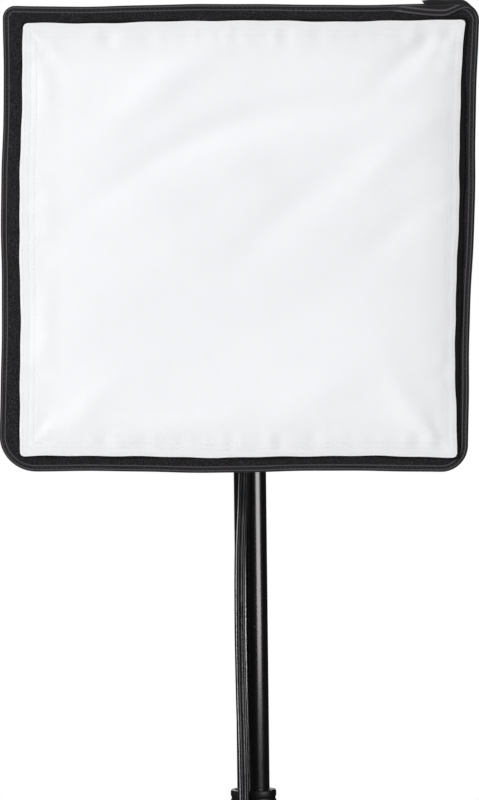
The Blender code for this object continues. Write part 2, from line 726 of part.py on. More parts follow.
def build_tilt():
    """The head's half of the knuckle, the bolt, its nut and the locking lever."""
    low = TOUCH / 2
    high = KNUCKLE_WIDE + TOUCH / 2
    arm = ear("head_knuckle", -TILT_DROP + 0.0160, 0.0, KNUCKLE_R, BOLT_R + PIN_GAP,
              low, high)
    moved(arm, turn=Matrix.Rotation(math.pi / 2, 3, "X"))
    foot = block("foot", (-0.0120, -0.0150, TILT_DROP - HEAD_R - 0.0060),
                 (0.0160, 0.0150, TILT_DROP - 0.0200))
    arm = join(arm, foot)
    around_head = cylinder("around_head", HEAD_R + TOUCH, -0.05, 0.05, "Y", STEPS,
                           (0.0, 0.0, TILT_DROP))
    arm = cut(arm, around_head)
    finish(stand(arm, z=TILT_Z), black_plastic())

    outside = KNUCKLE_WIDE + TOUCH / 2 + TOUCH
    bolt = cylinder("tilt_bolt", BOLT_R, -outside - 0.0080, outside + 0.0100, "X")
    finish(stand(bolt, z=TILT_Z), steel())
    nut = cylinder("tilt_nut", NUT_R, -outside - 0.0065, -outside, "X", 6)
    hole = cylinder("hole", BOLT_R + TOUCH, -outside - 0.02, -outside + 0.01, "X")
    nut = cut(nut, hole)
    finish(stand(nut, z=TILT_Z), steel(), smooth=False)

    lever = cylinder("tilt_lever", LEVER_HUB_R, outside, outside + 0.0120, "X")
    inside, far = outside + LEVER_CLEAR, outside + LEVER_CLEAR + 0.0056
    grip = block("grip", (inside, -0.0045, -LEVER_LENGTH), (far, 0.0045, -0.0020))
    lever = join(lever, grip)
    tip = cylinder("tip", 0.0062, inside, far, "X", SMALL_STEPS,
                   (0.0, 0.0, -LEVER_LENGTH))
    lever = join(lever, tip)
    socket = cylinder("socket", BOLT_R + TOUCH, outside - 0.01, outside + 0.0104, "X")
    lever = cut(lever, socket)
    turn = Matrix.Rotation(math.radians(40.0), 3, "X")
    finish(stand(lever, z=TILT_Z, turn=turn), black_plastic())


# ---------------------------------------------------------------- lamp head
def build_head():
    """The round housing about the lamp's axis; heights here run along +Y."""
    front, back = HEAD_FRONT_Y, HEAD_BACK_Y
    inner = HEAD_R - HEAD_WALL
    profile = [(HEAD_R - 0.0015, back), (HEAD_R, back - 0.0015), (HEAD_R, front + 0.0090),
               (HEAD_FLANGE_R, front + 0.0070), (HEAD_FLANGE_R, front),
               (CERAMIC_R + TOUCH, front), (CERAMIC_R + TOUCH, front + 0.0030),
               (inner, front + 0.0060), (inner, back)]
    body = frozen(turned("head_housing", profile))
    gland_hole = cylinder("gland_hole", GLAND_R - 0.0020 + TOUCH, -0.045, -0.020, "Z",
                          SMALL_STEPS, (0.0, 0.0, 0.0))
    # local Z runs along +Y, so world -Z is local +Y
    turn = Matrix.Rotation(-math.pi / 2, 3, "X").inverted()
    moved(gland_hole, (GLAND_X, 0.0, GLAND_Y), turn)
    body = cut(body, gland_hole)
    finish(stand(body, z=LAMP_Z, turn=FACING_BACK), black_plastic())

    lip = inner - TOUCH
    points = [(0.0, COVER_THICK), (HEAD_R - 0.0010, COVER_THICK),
              (HEAD_R, COVER_THICK - 0.0010), (HEAD_R, 0.0), (lip, 0.0), (lip, -0.0060),
              (lip - 0.0020, -0.0060), (lip - 0.0020, 0.0), (0.0, 0.0)]
    cover = turned("rear_cover", points, closed=False)
    cover = frozen(cover)
    half_w, half_h = ROCKER_WIDE / 2 + BEZEL_EDGE, ROCKER_HIGH / 2 + BEZEL_EDGE
    window = block("window", (-half_w + 0.0008 - TOUCH, -half_h + 0.0008 - TOUCH, -0.01),
                   (half_w - 0.0008 + TOUCH, half_h - 0.0008 + TOUCH, 0.01))
    cover = cut(cover, window)
    finish(stand(cover, y=HEAD_BACK_Y + TOUCH, z=LAMP_Z, turn=FACING_BACK), black_plastic())


def build_switch():
    """A rocker that turns in its bezel about X; heights here run along +Y."""
    at_y = HEAD_BACK_Y + TOUCH + COVER_THICK
    half_w, half_h = ROCKER_WIDE / 2 + BEZEL_EDGE, ROCKER_HIGH / 2 + BEZEL_EDGE
    bezel = block("switch_bezel", (-half_w, -half_h, TOUCH), (half_w, half_h, 0.0022))
    neck = block("neck", (-half_w + 0.0008, -half_h + 0.0008, -COVER_THICK - 0.0080),
                 (half_w - 0.0008, half_h - 0.0008, 0.0010))
    bezel = join(bezel, neck)
    well = block("well", (-ROCKER_WIDE / 2, -ROCKER_HIGH / 2, -COVER_THICK - 0.0060),
                 (ROCKER_WIDE / 2, ROCKER_HIGH / 2, 0.0100))
    bezel = cut(bezel, well)
    finish(stand(bezel, y=at_y, z=LAMP_Z, turn=FACING_BACK), black_plastic())
    gap = 0.0004
    reach = ROCKER_HIGH / 2 - 0.0010
    rocker = cylinder("power_rocker", reach, -ROCKER_WIDE / 2 + gap, ROCKER_WIDE / 2 - gap,
                      "X", SMALL_STEPS)
    low = block("low", (-0.02, -0.02, -0.02), (0.02, 0.02, -0.0020))
    rocker = cut(rocker, low)
    high = block("high", (-0.02, -0.02, 0.0030), (0.02, 0.02, 0.02))
    rocker = cut(rocker, high)
    turn = FACING_BACK @ Matrix.Rotation(ROCKER_TILT, 3, "X")
    finish(stand(rocker, y=at_y - 0.0004, z=LAMP_Z, turn=turn), black_plastic())


def build_lamp_holder():
    """The ceramic holder and its screw shell; heights here run along +Y."""
    front = HEAD_FRONT_Y - 0.0040
    back = front + CERAMIC_LENGTH
    bore = THREAD_R + TOUCH
    profile = [(0.0, back), (CERAMIC_R - 0.0020, back), (CERAMIC_R, back - 0.0020),
               (CERAMIC_R, front + 0.0010), (CERAMIC_R - 0.0010, front), (bore, front),
               (bore, front + 0.0320), (0.0, front + 0.0320)]
    obj = turned("lamp_socket", profile, closed=False)
    finish(stand(obj, z=LAMP_Z, turn=FACING_BACK), ceramic())
    shell = turned("socket_screw_shell", ring_profile(THREAD_R - THREAD_WALL, THREAD_R,
                                                      front + 0.0030, front + 0.0310))
    finish(stand(shell, z=LAMP_Z, turn=FACING_BACK), brass())


def build_bulb():
    """The lamp bulb; its origin is on its own axis and heights run along -Y."""
    seat = -(HEAD_FRONT_Y - 0.0040) + 0.0010
    tip = seat - BASE_LENGTH
    base = [(0.0, seat), (BASE_R, seat), (BASE_R, tip + 0.0060), (0.0050, tip + 0.0020),
            (0.0050, tip), (0.0, tip)]
    obj = turned("bulb_base", base, closed=False)
    finish(stand(obj, z=LAMP_Z, turn=FACING_FRONT), steel())
    rim = seat + BULB_SHOULDER
    body = [(0.0, rim), (BULB_R - 0.0010, rim), (BULB_R, rim - 0.0010),
            (BULB_R - 0.0020, rim - 0.0120), (0.0160, seat + 0.0060),
            (0.0145, seat + TOUCH), (0.0, seat + TOUCH)]
    obj = turned("bulb_body", body, closed=False)
    finish(stand(obj, z=LAMP_Z, turn=FACING_FRONT), white_plastic())
    globe = []
    for i in range(9):
        angle = math.pi / 2 * (1 - i / 8)
        globe.append((BULB_R * math.cos(angle),
                      rim + TOUCH + (BULB_LENGTH - BULB_SHOULDER + 0.008) * math.sin(angle)))
    globe[0] = (0.0, globe[0][1])
    globe.append((0.0, rim + TOUCH))
    obj = turned("bulb_globe", globe, closed=False)
    finish(stand(obj, z=LAMP_Z, turn=FACING_FRONT), opal())


def build_gland():
    """The cord's strain relief under the housing; its origin is on the lamp's axis."""
    top = -(HEAD_R - 0.0010)
    end = top - GLAND_LENGTH
    flange = -math.sqrt(HEAD_R ** 2 - 0.0) - 0.0012
    neck = GLAND_R - 0.0020
    profile = [(neck, -HEAD_R + 0.0090), (neck, flange - 0.0010), (GLAND_R, flange - 0.0018),
               (GLAND_R, flange - 0.0060), (GLAND_R - 0.0012, flange - 0.0075),
               (0.0046, end), (CORD_R - 0.0010, end), (CORD_R - 0.0010, -HEAD_R + 0.0090)]
    obj = turned("cord_gland", profile, SMALL_STEPS)
    finish(stand(obj, GLAND_X, GLAND_Y, LAMP_Z), black_plastic())


# ---------------------------------------------------------------- mounting ring and ribs
def build_ring():
    front = RING_BACK_Y - RING_THICK
    profile = ring_profile(RING_BORE, RING_R, front, RING_BACK_Y, 0.0008)
    ring = frozen(turned("mounting_ring", profile, 40))
    finish(stand(ring, z=LAMP_Z, turn=FACING_BACK), black_plastic())


def corner_signs():
    return {"top_right": (1, 1), "top_left": (-1, 1),
            "bottom_left": (-1, -1), "bottom_right": (1, -1)}


def socket_axis(sx, sz):
    """The direction of a rib where it leaves the ring: forward and out to its corner."""
    out = math.sin(SOCKET_TILT) / math.sqrt(2)
    return Vector((sx * out, -math.cos(SOCKET_TILT), sz * out))


def socket_base(sx, sz):
    side = SOCKET_FROM_AXIS / math.sqrt(2)
    return Vector((sx * side, RING_BACK_Y - RING_THICK - TOUCH, sz * side))


def build_rib_socket(name, sx, sz):
    """A metal ferrule that holds the end of a rib, cut to stand flat on the ring."""
    axis = socket_axis(sx, sz)
    turn = axis.to_track_quat("Z", "Y").to_matrix()
    base = socket_base(sx, sz)
    body = cylinder("rib_socket_" + name, SOCKET_R, -0.0120, SOCKET_LENGTH)
    bore = cylinder("bore", RIB_R + TOUCH, SOCKET_LENGTH - SOCKET_DEPTH,
                    SOCKET_LENGTH + 0.01, "Z", 12)
    body = cut(body, bore)
    moved(body, base, turn)
    trim(body, base, (0.0, 1.0, 0.0))
    finish(stand(body, z=LAMP_Z), steel())


def shell_half(t, inset=0.0):
    """Half the shell's width and height and its corner radius, t from front to back."""
    bow = SHELL_BOW * math.sin(math.pi * t)
    front_x = FRONT_WIDE / 2 - BINDING_WIDTH - TOUCH
    front_z = FRONT_HIGH / 2 - BINDING_WIDTH - TOUCH
    half_x = front_x * (1 - t) + BACK_R * t + bow - inset
    half_z = front_z * (1 - t) + BACK_R * t + bow - inset
    round_front = FRONT_CORNER * (1 - t)
    corner = round_front + (BACK_R * 0.97) * t ** 2.2 - inset * 0.7
    return half_x, half_z, corner


def shell_y(t):
    front = FRONT_Y + TAPE_THICK + TOUCH
    return front + SHELL_THICK + (BACK_Y - front - SHELL_THICK) * t


def rib_point(sx, sz, t):
    half_x, half_z, corner = shell_half(t, SHELL_THICK)
    pull = corner * (1 - 1 / math.sqrt(2)) + RIB_INSET / math.sqrt(2) * 0.5
    return Vector((sx * (half_x - pull), shell_y(t), sz * (half_z - pull)))


def build_rib(name, sx, sz):
    """A spring-steel rod from its socket to the shell's corner, bowed with the shell."""
    axis = socket_axis(sx, sz)
    start = socket_base(sx, sz) + axis * (SOCKET_LENGTH - SOCKET_DEPTH + TOUCH)
    points = [start, start + axis * (SOCKET_DEPTH - TOUCH)]
    leave = points[-1]
    finish_at = rib_point(sx, sz, 0.02)
    pull = (finish_at - leave).length
    ahead = (rib_point(sx, sz, 0.02) - rib_point(sx, sz, 0.25)).normalized()
    for i in range(1, RIB_POINTS):
        u = i / (RIB_POINTS - 1)
        p1 = leave + axis * pull * 0.33
        p2 = finish_at - ahead * pull * 0.33
        point = (leave * (1 - u) ** 3 + p1 * 3 * u * (1 - u) ** 2
                 + p2 * 3 * u ** 2 * (1 - u) + finish_at * u ** 3)
        points.append(point)
    rib = wire("rib_" + name, points, RIB_R, 1)
    finish(stand(rib, z=LAMP_Z), steel())


def wire(name, points, radius, resolution):
    curve = bpy.data.curves.new(name, "CURVE")
    curve.dimensions = "3D"
    curve.bevel_depth = radius
    curve.bevel_resolution = resolution
    curve.use_fill_caps = True
    curve.render_resolution_u = 0
    spline = curve.splines.new("POLY")
    spline.points.add(len(points) - 1)
    for slot, point in zip(spline.points, points):
        slot.co = (*point, 1.0)
    return frozen(new_object(name, curve))


# ---------------------------------------------------------------- softbox cloth pieces
def build_shell():
    """The black shell: a loft from the square front to the round back opening, with a
    flat lip behind the loop tape. The section goes out over the back, along the outside,
    in along the lip and back along the inside."""
    rings = []
    for i in range(SHELL_STEPS, -1, -1):
        t = i / SHELL_STEPS
        rings.append((shell_y(t), *shell_half(t)))
    lip_front = shell_y(0.0) - SHELL_THICK
    half_x, half_z, corner = shell_half(0.0)
    rings[-1] = (lip_front, half_x, half_z, corner)
    rings.append((lip_front, half_x - LIP_WIDTH, half_z - LIP_WIDTH, 0.0040))
    rings.append((lip_front + SHELL_THICK, half_x - LIP_WIDTH, half_z - LIP_WIDTH, 0.0040))
    half_x, half_z, corner = shell_half(0.0, SHELL_THICK)
    rings.append((lip_front + SHELL_THICK, half_x, half_z, corner))
    for i in range(1, SHELL_STEPS + 1):
        t = i / SHELL_STEPS
        rings.append((shell_y(t), *shell_half(t, SHELL_THICK)))
    work = bmesh.new()
    loops = []
    for y, wide, high, radius in rings:
        loops.append([work.verts.new((x, y, z))
                      for x, z in rounded_square(wide, high, radius)])
    for k, loop in enumerate(loops):
        after = loops[(k + 1) % len(loops)]
        for i in range(len(loop)):
            j = (i + 1) % len(loop)
            work.faces.new((loop[i], loop[j], after[j], after[i]))
    bmesh.ops.recalc_face_normals(work, faces=work.faces)
    mesh = bpy.data.meshes.new("fabric_shell")
    work.to_mesh(mesh)
    work.free()
    finish(stand(new_object("fabric_shell", mesh), z=LAMP_Z), black_fabric())


def frame_plate(name, outer, inner, thickness, front_y, mat):
    """A flat frame facing -Y whose front face is at front_y."""
    loops = [rounded_square(*outer)]
    if inner is not None:
        loops.append(rounded_square(*inner))
    obj = plate(name, loops, thickness)
    upright = Matrix.Rotation(math.pi / 2, 3, "X")
    moved(obj, (0.0, thickness / 2, 0.0), upright)
    return finish(stand(obj, y=front_y, z=LAMP_Z), mat)


def build_cloth_frames():
    wide, high = FRONT_WIDE / 2, FRONT_HIGH / 2
    inner_x = wide - BINDING_WIDTH
    inner_z = high - BINDING_WIDTH
    frame_plate("edge_binding", (wide, high, FRONT_CORNER),
                (inner_x, inner_z, FRONT_CORNER - 0.0030), BINDING_DEPTH, FRONT_Y,
                black_fabric())
    tape_x, tape_z = inner_x - TOUCH, inner_z - TOUCH
    frame_plate("loop_tape", (tape_x, tape_z, FRONT_CORNER - 0.0035),
                (tape_x - TAPE_WIDTH, tape_z - TAPE_WIDTH, 0.0030), TAPE_THICK, FRONT_Y,
                loop_fabric())
    hook_x, hook_z = DIFFUSER_WIDE / 2 - 0.0010, DIFFUSER_HIGH / 2 - 0.0010
    hook_y = FRONT_Y - TOUCH - TAPE_THICK
    frame_plate("diffuser_hook_tape", (hook_x, hook_z, DIFFUSER_CORNER),
                (hook_x - HOOK_WIDTH, hook_z - HOOK_WIDTH, 0.0030), TAPE_THICK, hook_y,
                loop_fabric())
    frame_plate("front_diffuser", (DIFFUSER_WIDE / 2, DIFFUSER_HIGH / 2, DIFFUSER_CORNER),
                None, DIFFUSER_THICK, hook_y - TOUCH - DIFFUSER_THICK, white_fabric())


def build_softbox():
    build_ring()
    for name, (sx, sz) in corner_signs().items():
        build_rib_socket(name, sx, sz)
        build_rib(name, sx, sz)
    build_shell()
    build_cloth_frames()


# ---------------------------------------------------------------- cord, coil and plug
def smooth_route(points, step):
    """Points at equal steps along a Catmull-Rom curve through the given points."""
    ends = [points[0] * 2 - points[1]] + points + [points[-1] * 2 - points[-2]]
    fine = []
    for a, b, c, d in zip(ends, ends[1:], ends[2:], ends[3:]):
        for i in range(24):
            u = i / 24
            fine.append(0.5 * ((2 * b) + (c - a) * u + (2 * a - 5 * b + 4 * c - d) * u ** 2
                               + (3 * b - a - 3 * c + d) * u ** 3))
    fine.append(points[-1])
    lengths = [0.0]
    for a, b in zip(fine, fine[1:]):
        lengths.append(lengths[-1] + (b - a).length)
    count = max(2, round(lengths[-1] / step))
    made, k = [], 0
    for i in range(count + 1):
        want = lengths[-1] * i / count
        while k < len(fine) - 2 and lengths[k + 1] < want:
            k += 1
        share = (want - lengths[k]) / max(lengths[k + 1] - lengths[k], 1e-9)
        made.append(fine[k].lerp(fine[k + 1], min(1.0, share)))
    return made


def build_cord():
    """The drop in two lengths: one beside the top tube and one beside the tubes below."""
    points = smooth_route([Vector(p) for p in CORD_ROUTE], CORD_STEP)
    last = max(i for i, p in enumerate(points) if p.z >= CORD_SPLIT_Z)
    lower = points[last:]
    away = (lower[1] - lower[0]).normalized()
    lower[0] = lower[0] + away * TOUCH
    upper = wire("power_cord_upper", points[:last + 1], CORD_R, 2)
    finish(stand(upper), rubber())
    finish(stand(wire("power_cord_lower", lower, CORD_R, 2)), rubber())


def build_coil():
    inner, outer = COIL_R - COIL_WIDE / 2, COIL_R + COIL_WIDE / 2
    ease = COIL_WIDE * 0.25
    low, high = 0.0, COIL_HIGH
    profile = [(inner + ease, high), (outer - ease, high), (outer, high - ease),
               (outer, low + ease), (outer - ease, low), (inner + ease, low),
               (inner, low + ease), (inner, high - ease)]
    coil = turned("cord_coil", profile)
    finish(stand(coil, COIL_AT[0], COIL_AT[1], COIL_BOTTOM), rubber())


def build_plug():
    """A flat two-blade plug on a tail that leaves the coil along a tangent, local X."""
    turn = Matrix.Rotation(PLUG_TURN, 3, "Z")
    beside = COIL_R + COIL_WIDE / 2 + TOUCH + CORD_R
    neck_end = PLUG_TAIL + PLUG_SLEEVE
    body = block("plug_body", (neck_end, -PLUG_WIDE / 2, 0.0),
                 (neck_end + PLUG_LENGTH, PLUG_WIDE / 2, PLUG_THICK))
    bevelled(body, 0.0022, 2)
    body = frozen(body)
    middle = (0.0, 0.0, PLUG_THICK / 2)
    neck = cylinder("neck", 0.0042, PLUG_TAIL, neck_end + 0.003, "X", 16, middle)
    tail = cylinder("tail", CORD_R, 0.0, PLUG_TAIL + 0.001, "X", 16, middle)
    body = join(join(body, neck), tail)
    face = neck_end + PLUG_LENGTH
    for side in (-1, 1):
        y = side * BLADE_SPACING / 2
        gap = TOUCH
        slot = block("slot", (face - 0.0060, y - BLADE_THICK / 2 - gap,
                              PLUG_THICK / 2 - BLADE_WIDE / 2 - gap),
                     (face + 0.01, y + BLADE_THICK / 2 + gap,
                      PLUG_THICK / 2 + BLADE_WIDE / 2 + gap))
        body = cut(body, slot)
    place = (COIL_AT[0], COIL_AT[1] - beside, 0.0004)
    finish(stand(body, *place, turn), black_plastic())
    for name, side in (("left", -1), ("right", 1)):
        y = side * BLADE_SPACING / 2
        blade = block("plug_blade_" + name, (face - 0.0057, y - BLADE_THICK / 2,
                                             PLUG_THICK / 2 - BLADE_WIDE / 2),
                      (face + BLADE_LENGTH, y + BLADE_THICK / 2,
                       PLUG_THICK / 2 + BLADE_WIDE / 2))
        finish(stand(blade, *place, turn), brass(), smooth=False)


def main():
    clear_scene()
    build_tubes()
    build_collars()
    build_base()
    build_spigot()
    build_adapter()
    build_tilt()
    build_head()
    build_switch()
    build_lamp_holder()
    build_bulb()
    build_gland()
    build_softbox()
    build_cord()
    build_coil()
    build_plug()
    bpy.context.view_layer.update()


if __name__ == "__main__":
    main()
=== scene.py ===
"""A small square studio softbox on its lamp holder and folding stand, in metres.

The packed CAD model is the frame. Every new piece is a surface worked out with numpy in
the frame's own coordinates, and rides on the body of the CAD node that it stands for.
+Z is up and the softbox faces -Y.
"""

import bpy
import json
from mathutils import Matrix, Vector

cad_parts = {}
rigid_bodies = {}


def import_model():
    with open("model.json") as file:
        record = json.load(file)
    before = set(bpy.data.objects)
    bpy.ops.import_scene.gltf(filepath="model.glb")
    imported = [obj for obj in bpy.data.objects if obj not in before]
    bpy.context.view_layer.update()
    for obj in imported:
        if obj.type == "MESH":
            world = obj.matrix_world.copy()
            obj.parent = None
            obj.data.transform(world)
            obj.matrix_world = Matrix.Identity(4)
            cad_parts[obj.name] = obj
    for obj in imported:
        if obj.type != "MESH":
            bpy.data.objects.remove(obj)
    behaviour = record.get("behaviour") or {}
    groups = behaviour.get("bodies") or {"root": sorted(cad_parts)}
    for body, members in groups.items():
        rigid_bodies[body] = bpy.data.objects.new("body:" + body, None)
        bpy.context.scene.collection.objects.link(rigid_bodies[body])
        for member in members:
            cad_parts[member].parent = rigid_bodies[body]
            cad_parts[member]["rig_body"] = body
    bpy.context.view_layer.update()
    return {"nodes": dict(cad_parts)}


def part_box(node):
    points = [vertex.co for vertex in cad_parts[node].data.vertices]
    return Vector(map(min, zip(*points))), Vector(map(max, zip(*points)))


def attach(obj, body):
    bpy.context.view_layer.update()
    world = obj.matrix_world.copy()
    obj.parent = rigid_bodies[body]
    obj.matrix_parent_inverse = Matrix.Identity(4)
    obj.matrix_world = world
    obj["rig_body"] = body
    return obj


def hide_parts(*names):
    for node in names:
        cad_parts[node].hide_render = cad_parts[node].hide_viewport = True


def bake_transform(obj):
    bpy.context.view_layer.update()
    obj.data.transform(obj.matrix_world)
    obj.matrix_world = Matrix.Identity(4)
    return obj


bl_info = {
    "name": "Studio softbox",
    "version": (1, 0, 0),
    "blender": (4, 5, 0),
    "location": "3D View > Sidebar > Softbox",
    "description": "Looks of a square studio softbox on a folding stand",
    "category": "Add Mesh",
}

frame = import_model()

import json
import math

import bmesh
import bpy
import numpy as np

NODES = frame["nodes"]
SEED = 11

# ---------------------------------------------------------------- places from the frame
def low(node):
    return np.array(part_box(node)[0])


def high(node):
    return np.array(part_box(node)[1])


BINDING_LOW, BINDING_HIGH = low("edge_binding"), high("edge_binding")
LAMP_Z = (BINDING_LOW[2] + BINDING_HIGH[2]) / 2        # height of the lamp's axis
HALF_X = BINDING_HIGH[0]                               # half the front's width
HALF_Z = (BINDING_HIGH[2] - BINDING_LOW[2]) / 2        # half the front's height
FRONT_Y = BINDING_LOW[1]                               # front face of the binding
STAND_Y = (low("lower_tube")[1] + high("lower_tube")[1]) / 2
DIFFUSER_X = high("front_diffuser")[0]
DIFFUSER_Z = high("front_diffuser")[2] - LAMP_Z
DIFFUSER_Y = low("front_diffuser")[1]
SHELL_FRONT_Y = low("fabric_shell")[1]
SHELL_BACK_Y = high("fabric_shell")[1]
SHELL_X = high("fabric_shell")[0]
SHELL_Z = high("fabric_shell")[2] - LAMP_Z
BACK_R = 0.0495                                        # shell's round back opening
LIP_WIDTH = 0.0180
BINDING_WIDE = 0.0040
# how far each corner of the sewn front is pulled from a true square: x, z
# in the order upper right, upper left, lower left, lower right
FRONT_PULL = np.array([[0.0057, -0.0011], [0.0040, 0.0013],
                       [-0.0020, 0.0014], [-0.0055, -0.0011]])
DIFFUSER_PULL = np.array([[0.0084, -0.0012], [0.0053, 0.0007],
                          [0.0001, 0.0010], [-0.0007, -0.0021]])
FRONT_RADII = (0.0120, 0.0075, 0.0235, 0.0165)
SIDE_POINTS = 84
CORNER_POINTS = 14


# ---------------------------------------------------------------- mesh helpers
def grid_faces(rows, columns, close_rows=False, close_columns=False):
    """Quads of a grid of points, row by row. A closed direction joins last to first."""
    r = np.arange(rows if close_rows else rows - 1)[:, None]
    c = np.arange(columns if close_columns else columns - 1)[None, :]
    r2, c2 = (r + 1) % rows, (c + 1) % columns
    return np.stack([r * columns + c, r * columns + c2, r2 * columns + c2,
                     r2 * columns + c], -1).reshape(-1, 4)


def tube_faces(rows, around):
    """Faces of rings joined row by row into a tube, with a flat cap at each end."""
    faces = grid_faces(rows, around, False, True).tolist()
    return faces + [list(range(around)),
                    list(range((rows - 1) * around, rows * around))]


def circle(count):
    """Angles at equal steps once round."""
    return np.linspace(0, 2 * math.pi, count, endpoint=False)


def set_cloth_map(mesh, at_points):
    """Writes the Cloth map from one pair of coordinates for each point."""
    layer = mesh.uv_layers.get("Cloth") or mesh.uv_layers.new(name="Cloth")
    index = np.zeros(len(mesh.loops), np.int32)
    mesh.loops.foreach_get("vertex_index", index)
    flat = np.asarray(at_points, np.float32).reshape(-1, 2)
    layer.data.foreach_set("uv", flat[index].ravel())


def make_mesh(name, points, faces, materials, sharp=35.0, uv=None, closed=True):
    """A mesh object from arrays of points and faces, smooth below an angle in degrees."""
    mesh = bpy.data.meshes.new(name)
    mesh.from_pydata(np.asarray(points, float).reshape(-1, 3).tolist(), [],
                     [list(f) for f in faces])
    mesh.validate()
    if closed:
        work = bmesh.new()
        work.from_mesh(mesh)
        bmesh.ops.recalc_face_normals(work, faces=work.faces)
        work.to_mesh(mesh)
        work.free()
    if uv is not None:
        set_cloth_map(mesh, uv)
    mesh.shade_smooth()
    mesh.set_sharp_from_angle(angle=math.radians(sharp))
    for material in (materials if isinstance(materials, (list, tuple)) else [materials]):
        mesh.materials.append(material)
    piece = bpy.data.objects.new(name, mesh)
    bpy.context.scene.collection.objects.link(piece)
    return piece


def stacked(parts):
    """Several (points, faces) shells as one pair of arrays."""
    points, faces, start = [], [], 0
    for p, f in parts:
        p = np.asarray(p, float).reshape(-1, 3)
        points.append(p)
        faces += [[int(i) + start for i in face] for face in f]
        start += len(p)
    return np.concatenate(points), faces


def rounded(profile, radius, steps=5, closed=True):
    """A profile whose corners are arcs: each corner is cut back by radius, at most 0.45
    of its shorter side, and joined by a quadratic curve through the corner."""
    p = np.asarray(profile, float)
    before, after = np.roll(p, 1, 0) - p, np.roll(p, -1, 0) - p
    len_b, len_a = np.linalg.norm(before, axis=1), np.linalg.norm(after, axis=1)
    cut = np.minimum(radius, 0.45 * np.minimum(len_b, len_a))[:, None]
    a = p + before / len_b[:, None] * cut
    b = p + after / len_a[:, None] * cut
    u = np.linspace(0, 1, steps)[None, :, None]
    arc = a[:, None] * (1 - u) ** 2 + p[:, None] * 2 * u * (1 - u) + b[:, None] * u ** 2
    if not closed:
        return np.concatenate([p[:1], arc[1:-1].reshape(-1, 2), p[-1:]])
    return arc.reshape(-1, 2)


# for each axis to turn about: the directions at 0 and 90 degrees, and the axis
AXES = {"Y": ((0, 0, 1), (1, 0, 0), (0, 1, 0)), "Z": ((1, 0, 0), (0, 1, 0), (0, 0, 1))}


def turned(profile, centre, axis="Z", segments=96, closed=True, wave=None):
    """(points, faces) of a profile of (radius, height) carried round an axis: at angle a
    the point is centre + radius (cos a u + sin a v) + height w. An open profile is closed
    by a flat cap at each end. wave(angle, height) multiplies the radius."""
    ways = AXES[axis] if isinstance(axis, str) else axis
    u, v, w = (np.array(way, float) for way in ways)
    profile = np.asarray(profile, float)
    angle = circle(segments)[None, :]
    radius = np.maximum(profile[:, 0], 1e-6)[:, None] * np.ones_like(angle)
    height = profile[:, 1][:, None] * np.ones_like(angle)
    if wave is not None:
        radius = radius * wave(angle, height)
    points = (np.asarray(centre, float) + (radius * np.cos(angle))[..., None] * u
              + (radius * np.sin(angle))[..., None] * v + height[..., None] * w)
    faces = (grid_faces(len(profile), segments, True, True) if closed
             else tube_faces(len(profile), segments))
    return points.reshape(-1, 3), faces


def smooth_route(points, step):
    """Points at equal steps along a Catmull-Rom curve through the given points."""
    p = np.asarray(points, float)
    p = np.concatenate([[2 * p[0] - p[1]], p, [2 * p[-1] - p[-2]]])
    u = np.linspace(0, 1, 30, endpoint=False)[None, :, None]
    a, b, c, d = (p[i:len(p) - 3 + i][:, None] for i in range(4))
    fine = 0.5 * (2 * b + (c - a) * u + (2 * a - 5 * b + 4 * c - d) * u ** 2
                  + (3 * b - a - 3 * c + d) * u ** 3)
    return even(np.concatenate([fine.reshape(-1, 3), p[-2:-1]]), step)


def run_along(line):
    """Distance gone along a line at each of its points."""
    step = np.linalg.norm(np.diff(line, axis=0), axis=1)
    return np.concatenate([[0], np.cumsum(step)])


def even(line, step):
    """The same line with points at equal steps along its length."""
    gone = run_along(line)
    at = np.linspace(0, gone[-1], max(2, round(gone[-1] / step)) + 1)
    return np.stack([np.interp(at, gone, line[:, i]) for i in range(line.shape[1])], 1)


def unit(v):
    return v / np.maximum(np.linalg.norm(v, axis=-1, keepdims=True), 1e-12)


def swept(path, profile, wide, closed_path=False, scale=None):
    """(points, faces) of a closed profile of (across, out) carried along a path. wide is
    the direction of 'across' at each point of the path, made square to the path; 'out'
    is path direction x across. scale is the profile's size at each point."""
    path = np.asarray(path, float)
    if closed_path:
        along = np.roll(path, -1, 0) - np.roll(path, 1, 0)
    else:
        along = np.gradient(path, axis=0)
    along = unit(along)
    wide = np.broadcast_to(np.asarray(wide, float), path.shape)
    across = unit(wide - (wide * along).sum(1, keepdims=True) * along)
    out = np.cross(along, across)
    profile = np.asarray(profile, float)
    s = np.ones(len(path)) if scale is None else np.asarray(scale, float)
    s = s[:, None] if s.ndim == 1 else s
    points = (path[:, None] + across[:, None] * (profile[None, :, :1] * s[:, :1, None])
              + out[:, None] * (profile[None, :, 1:] * s[:, -1:, None]))
    n, m = len(path), len(profile)
    faces = grid_faces(n, m, True, True) if closed_path else tube_faces(n, m)
    return points.reshape(-1, 3), faces


def scattered(shape, faces, centres, a, b, c):
    """(points, faces) of copies of one small shape: a point (x, y, z) of the shape goes
    to centre + x a + y b + z c, with one centre and one set of directions for each
    copy."""
    shape, faces = np.asarray(shape, float), np.asarray(faces)
    points = (centres[:, None] + shape[None, :, :1] * a[:, None]
              + shape[None, :, 1:2] * b[:, None] + shape[None, :, 2:] * c[:, None])
    start = np.arange(len(centres))[:, None, None] * len(shape)
    return points.reshape(-1, 3), (faces[None] + start).reshape(-1, faces.shape[1])


def bead(rows=5, around=6):
    """A small stitch: half an ellipse carried round its length, from -1 to 1 along x."""
    u = np.linspace(-1, 1, rows)
    r = np.sqrt(np.maximum(1 - np.abs(u) ** 2.6, 0.02))
    angle = circle(around)
    points = np.stack(np.broadcast_arrays(u[:, None], r[:, None] * np.cos(angle),
                                          r[:, None] * np.sin(angle)), -1)
    return points.reshape(-1, 3), grid_faces(rows, around, False, True)


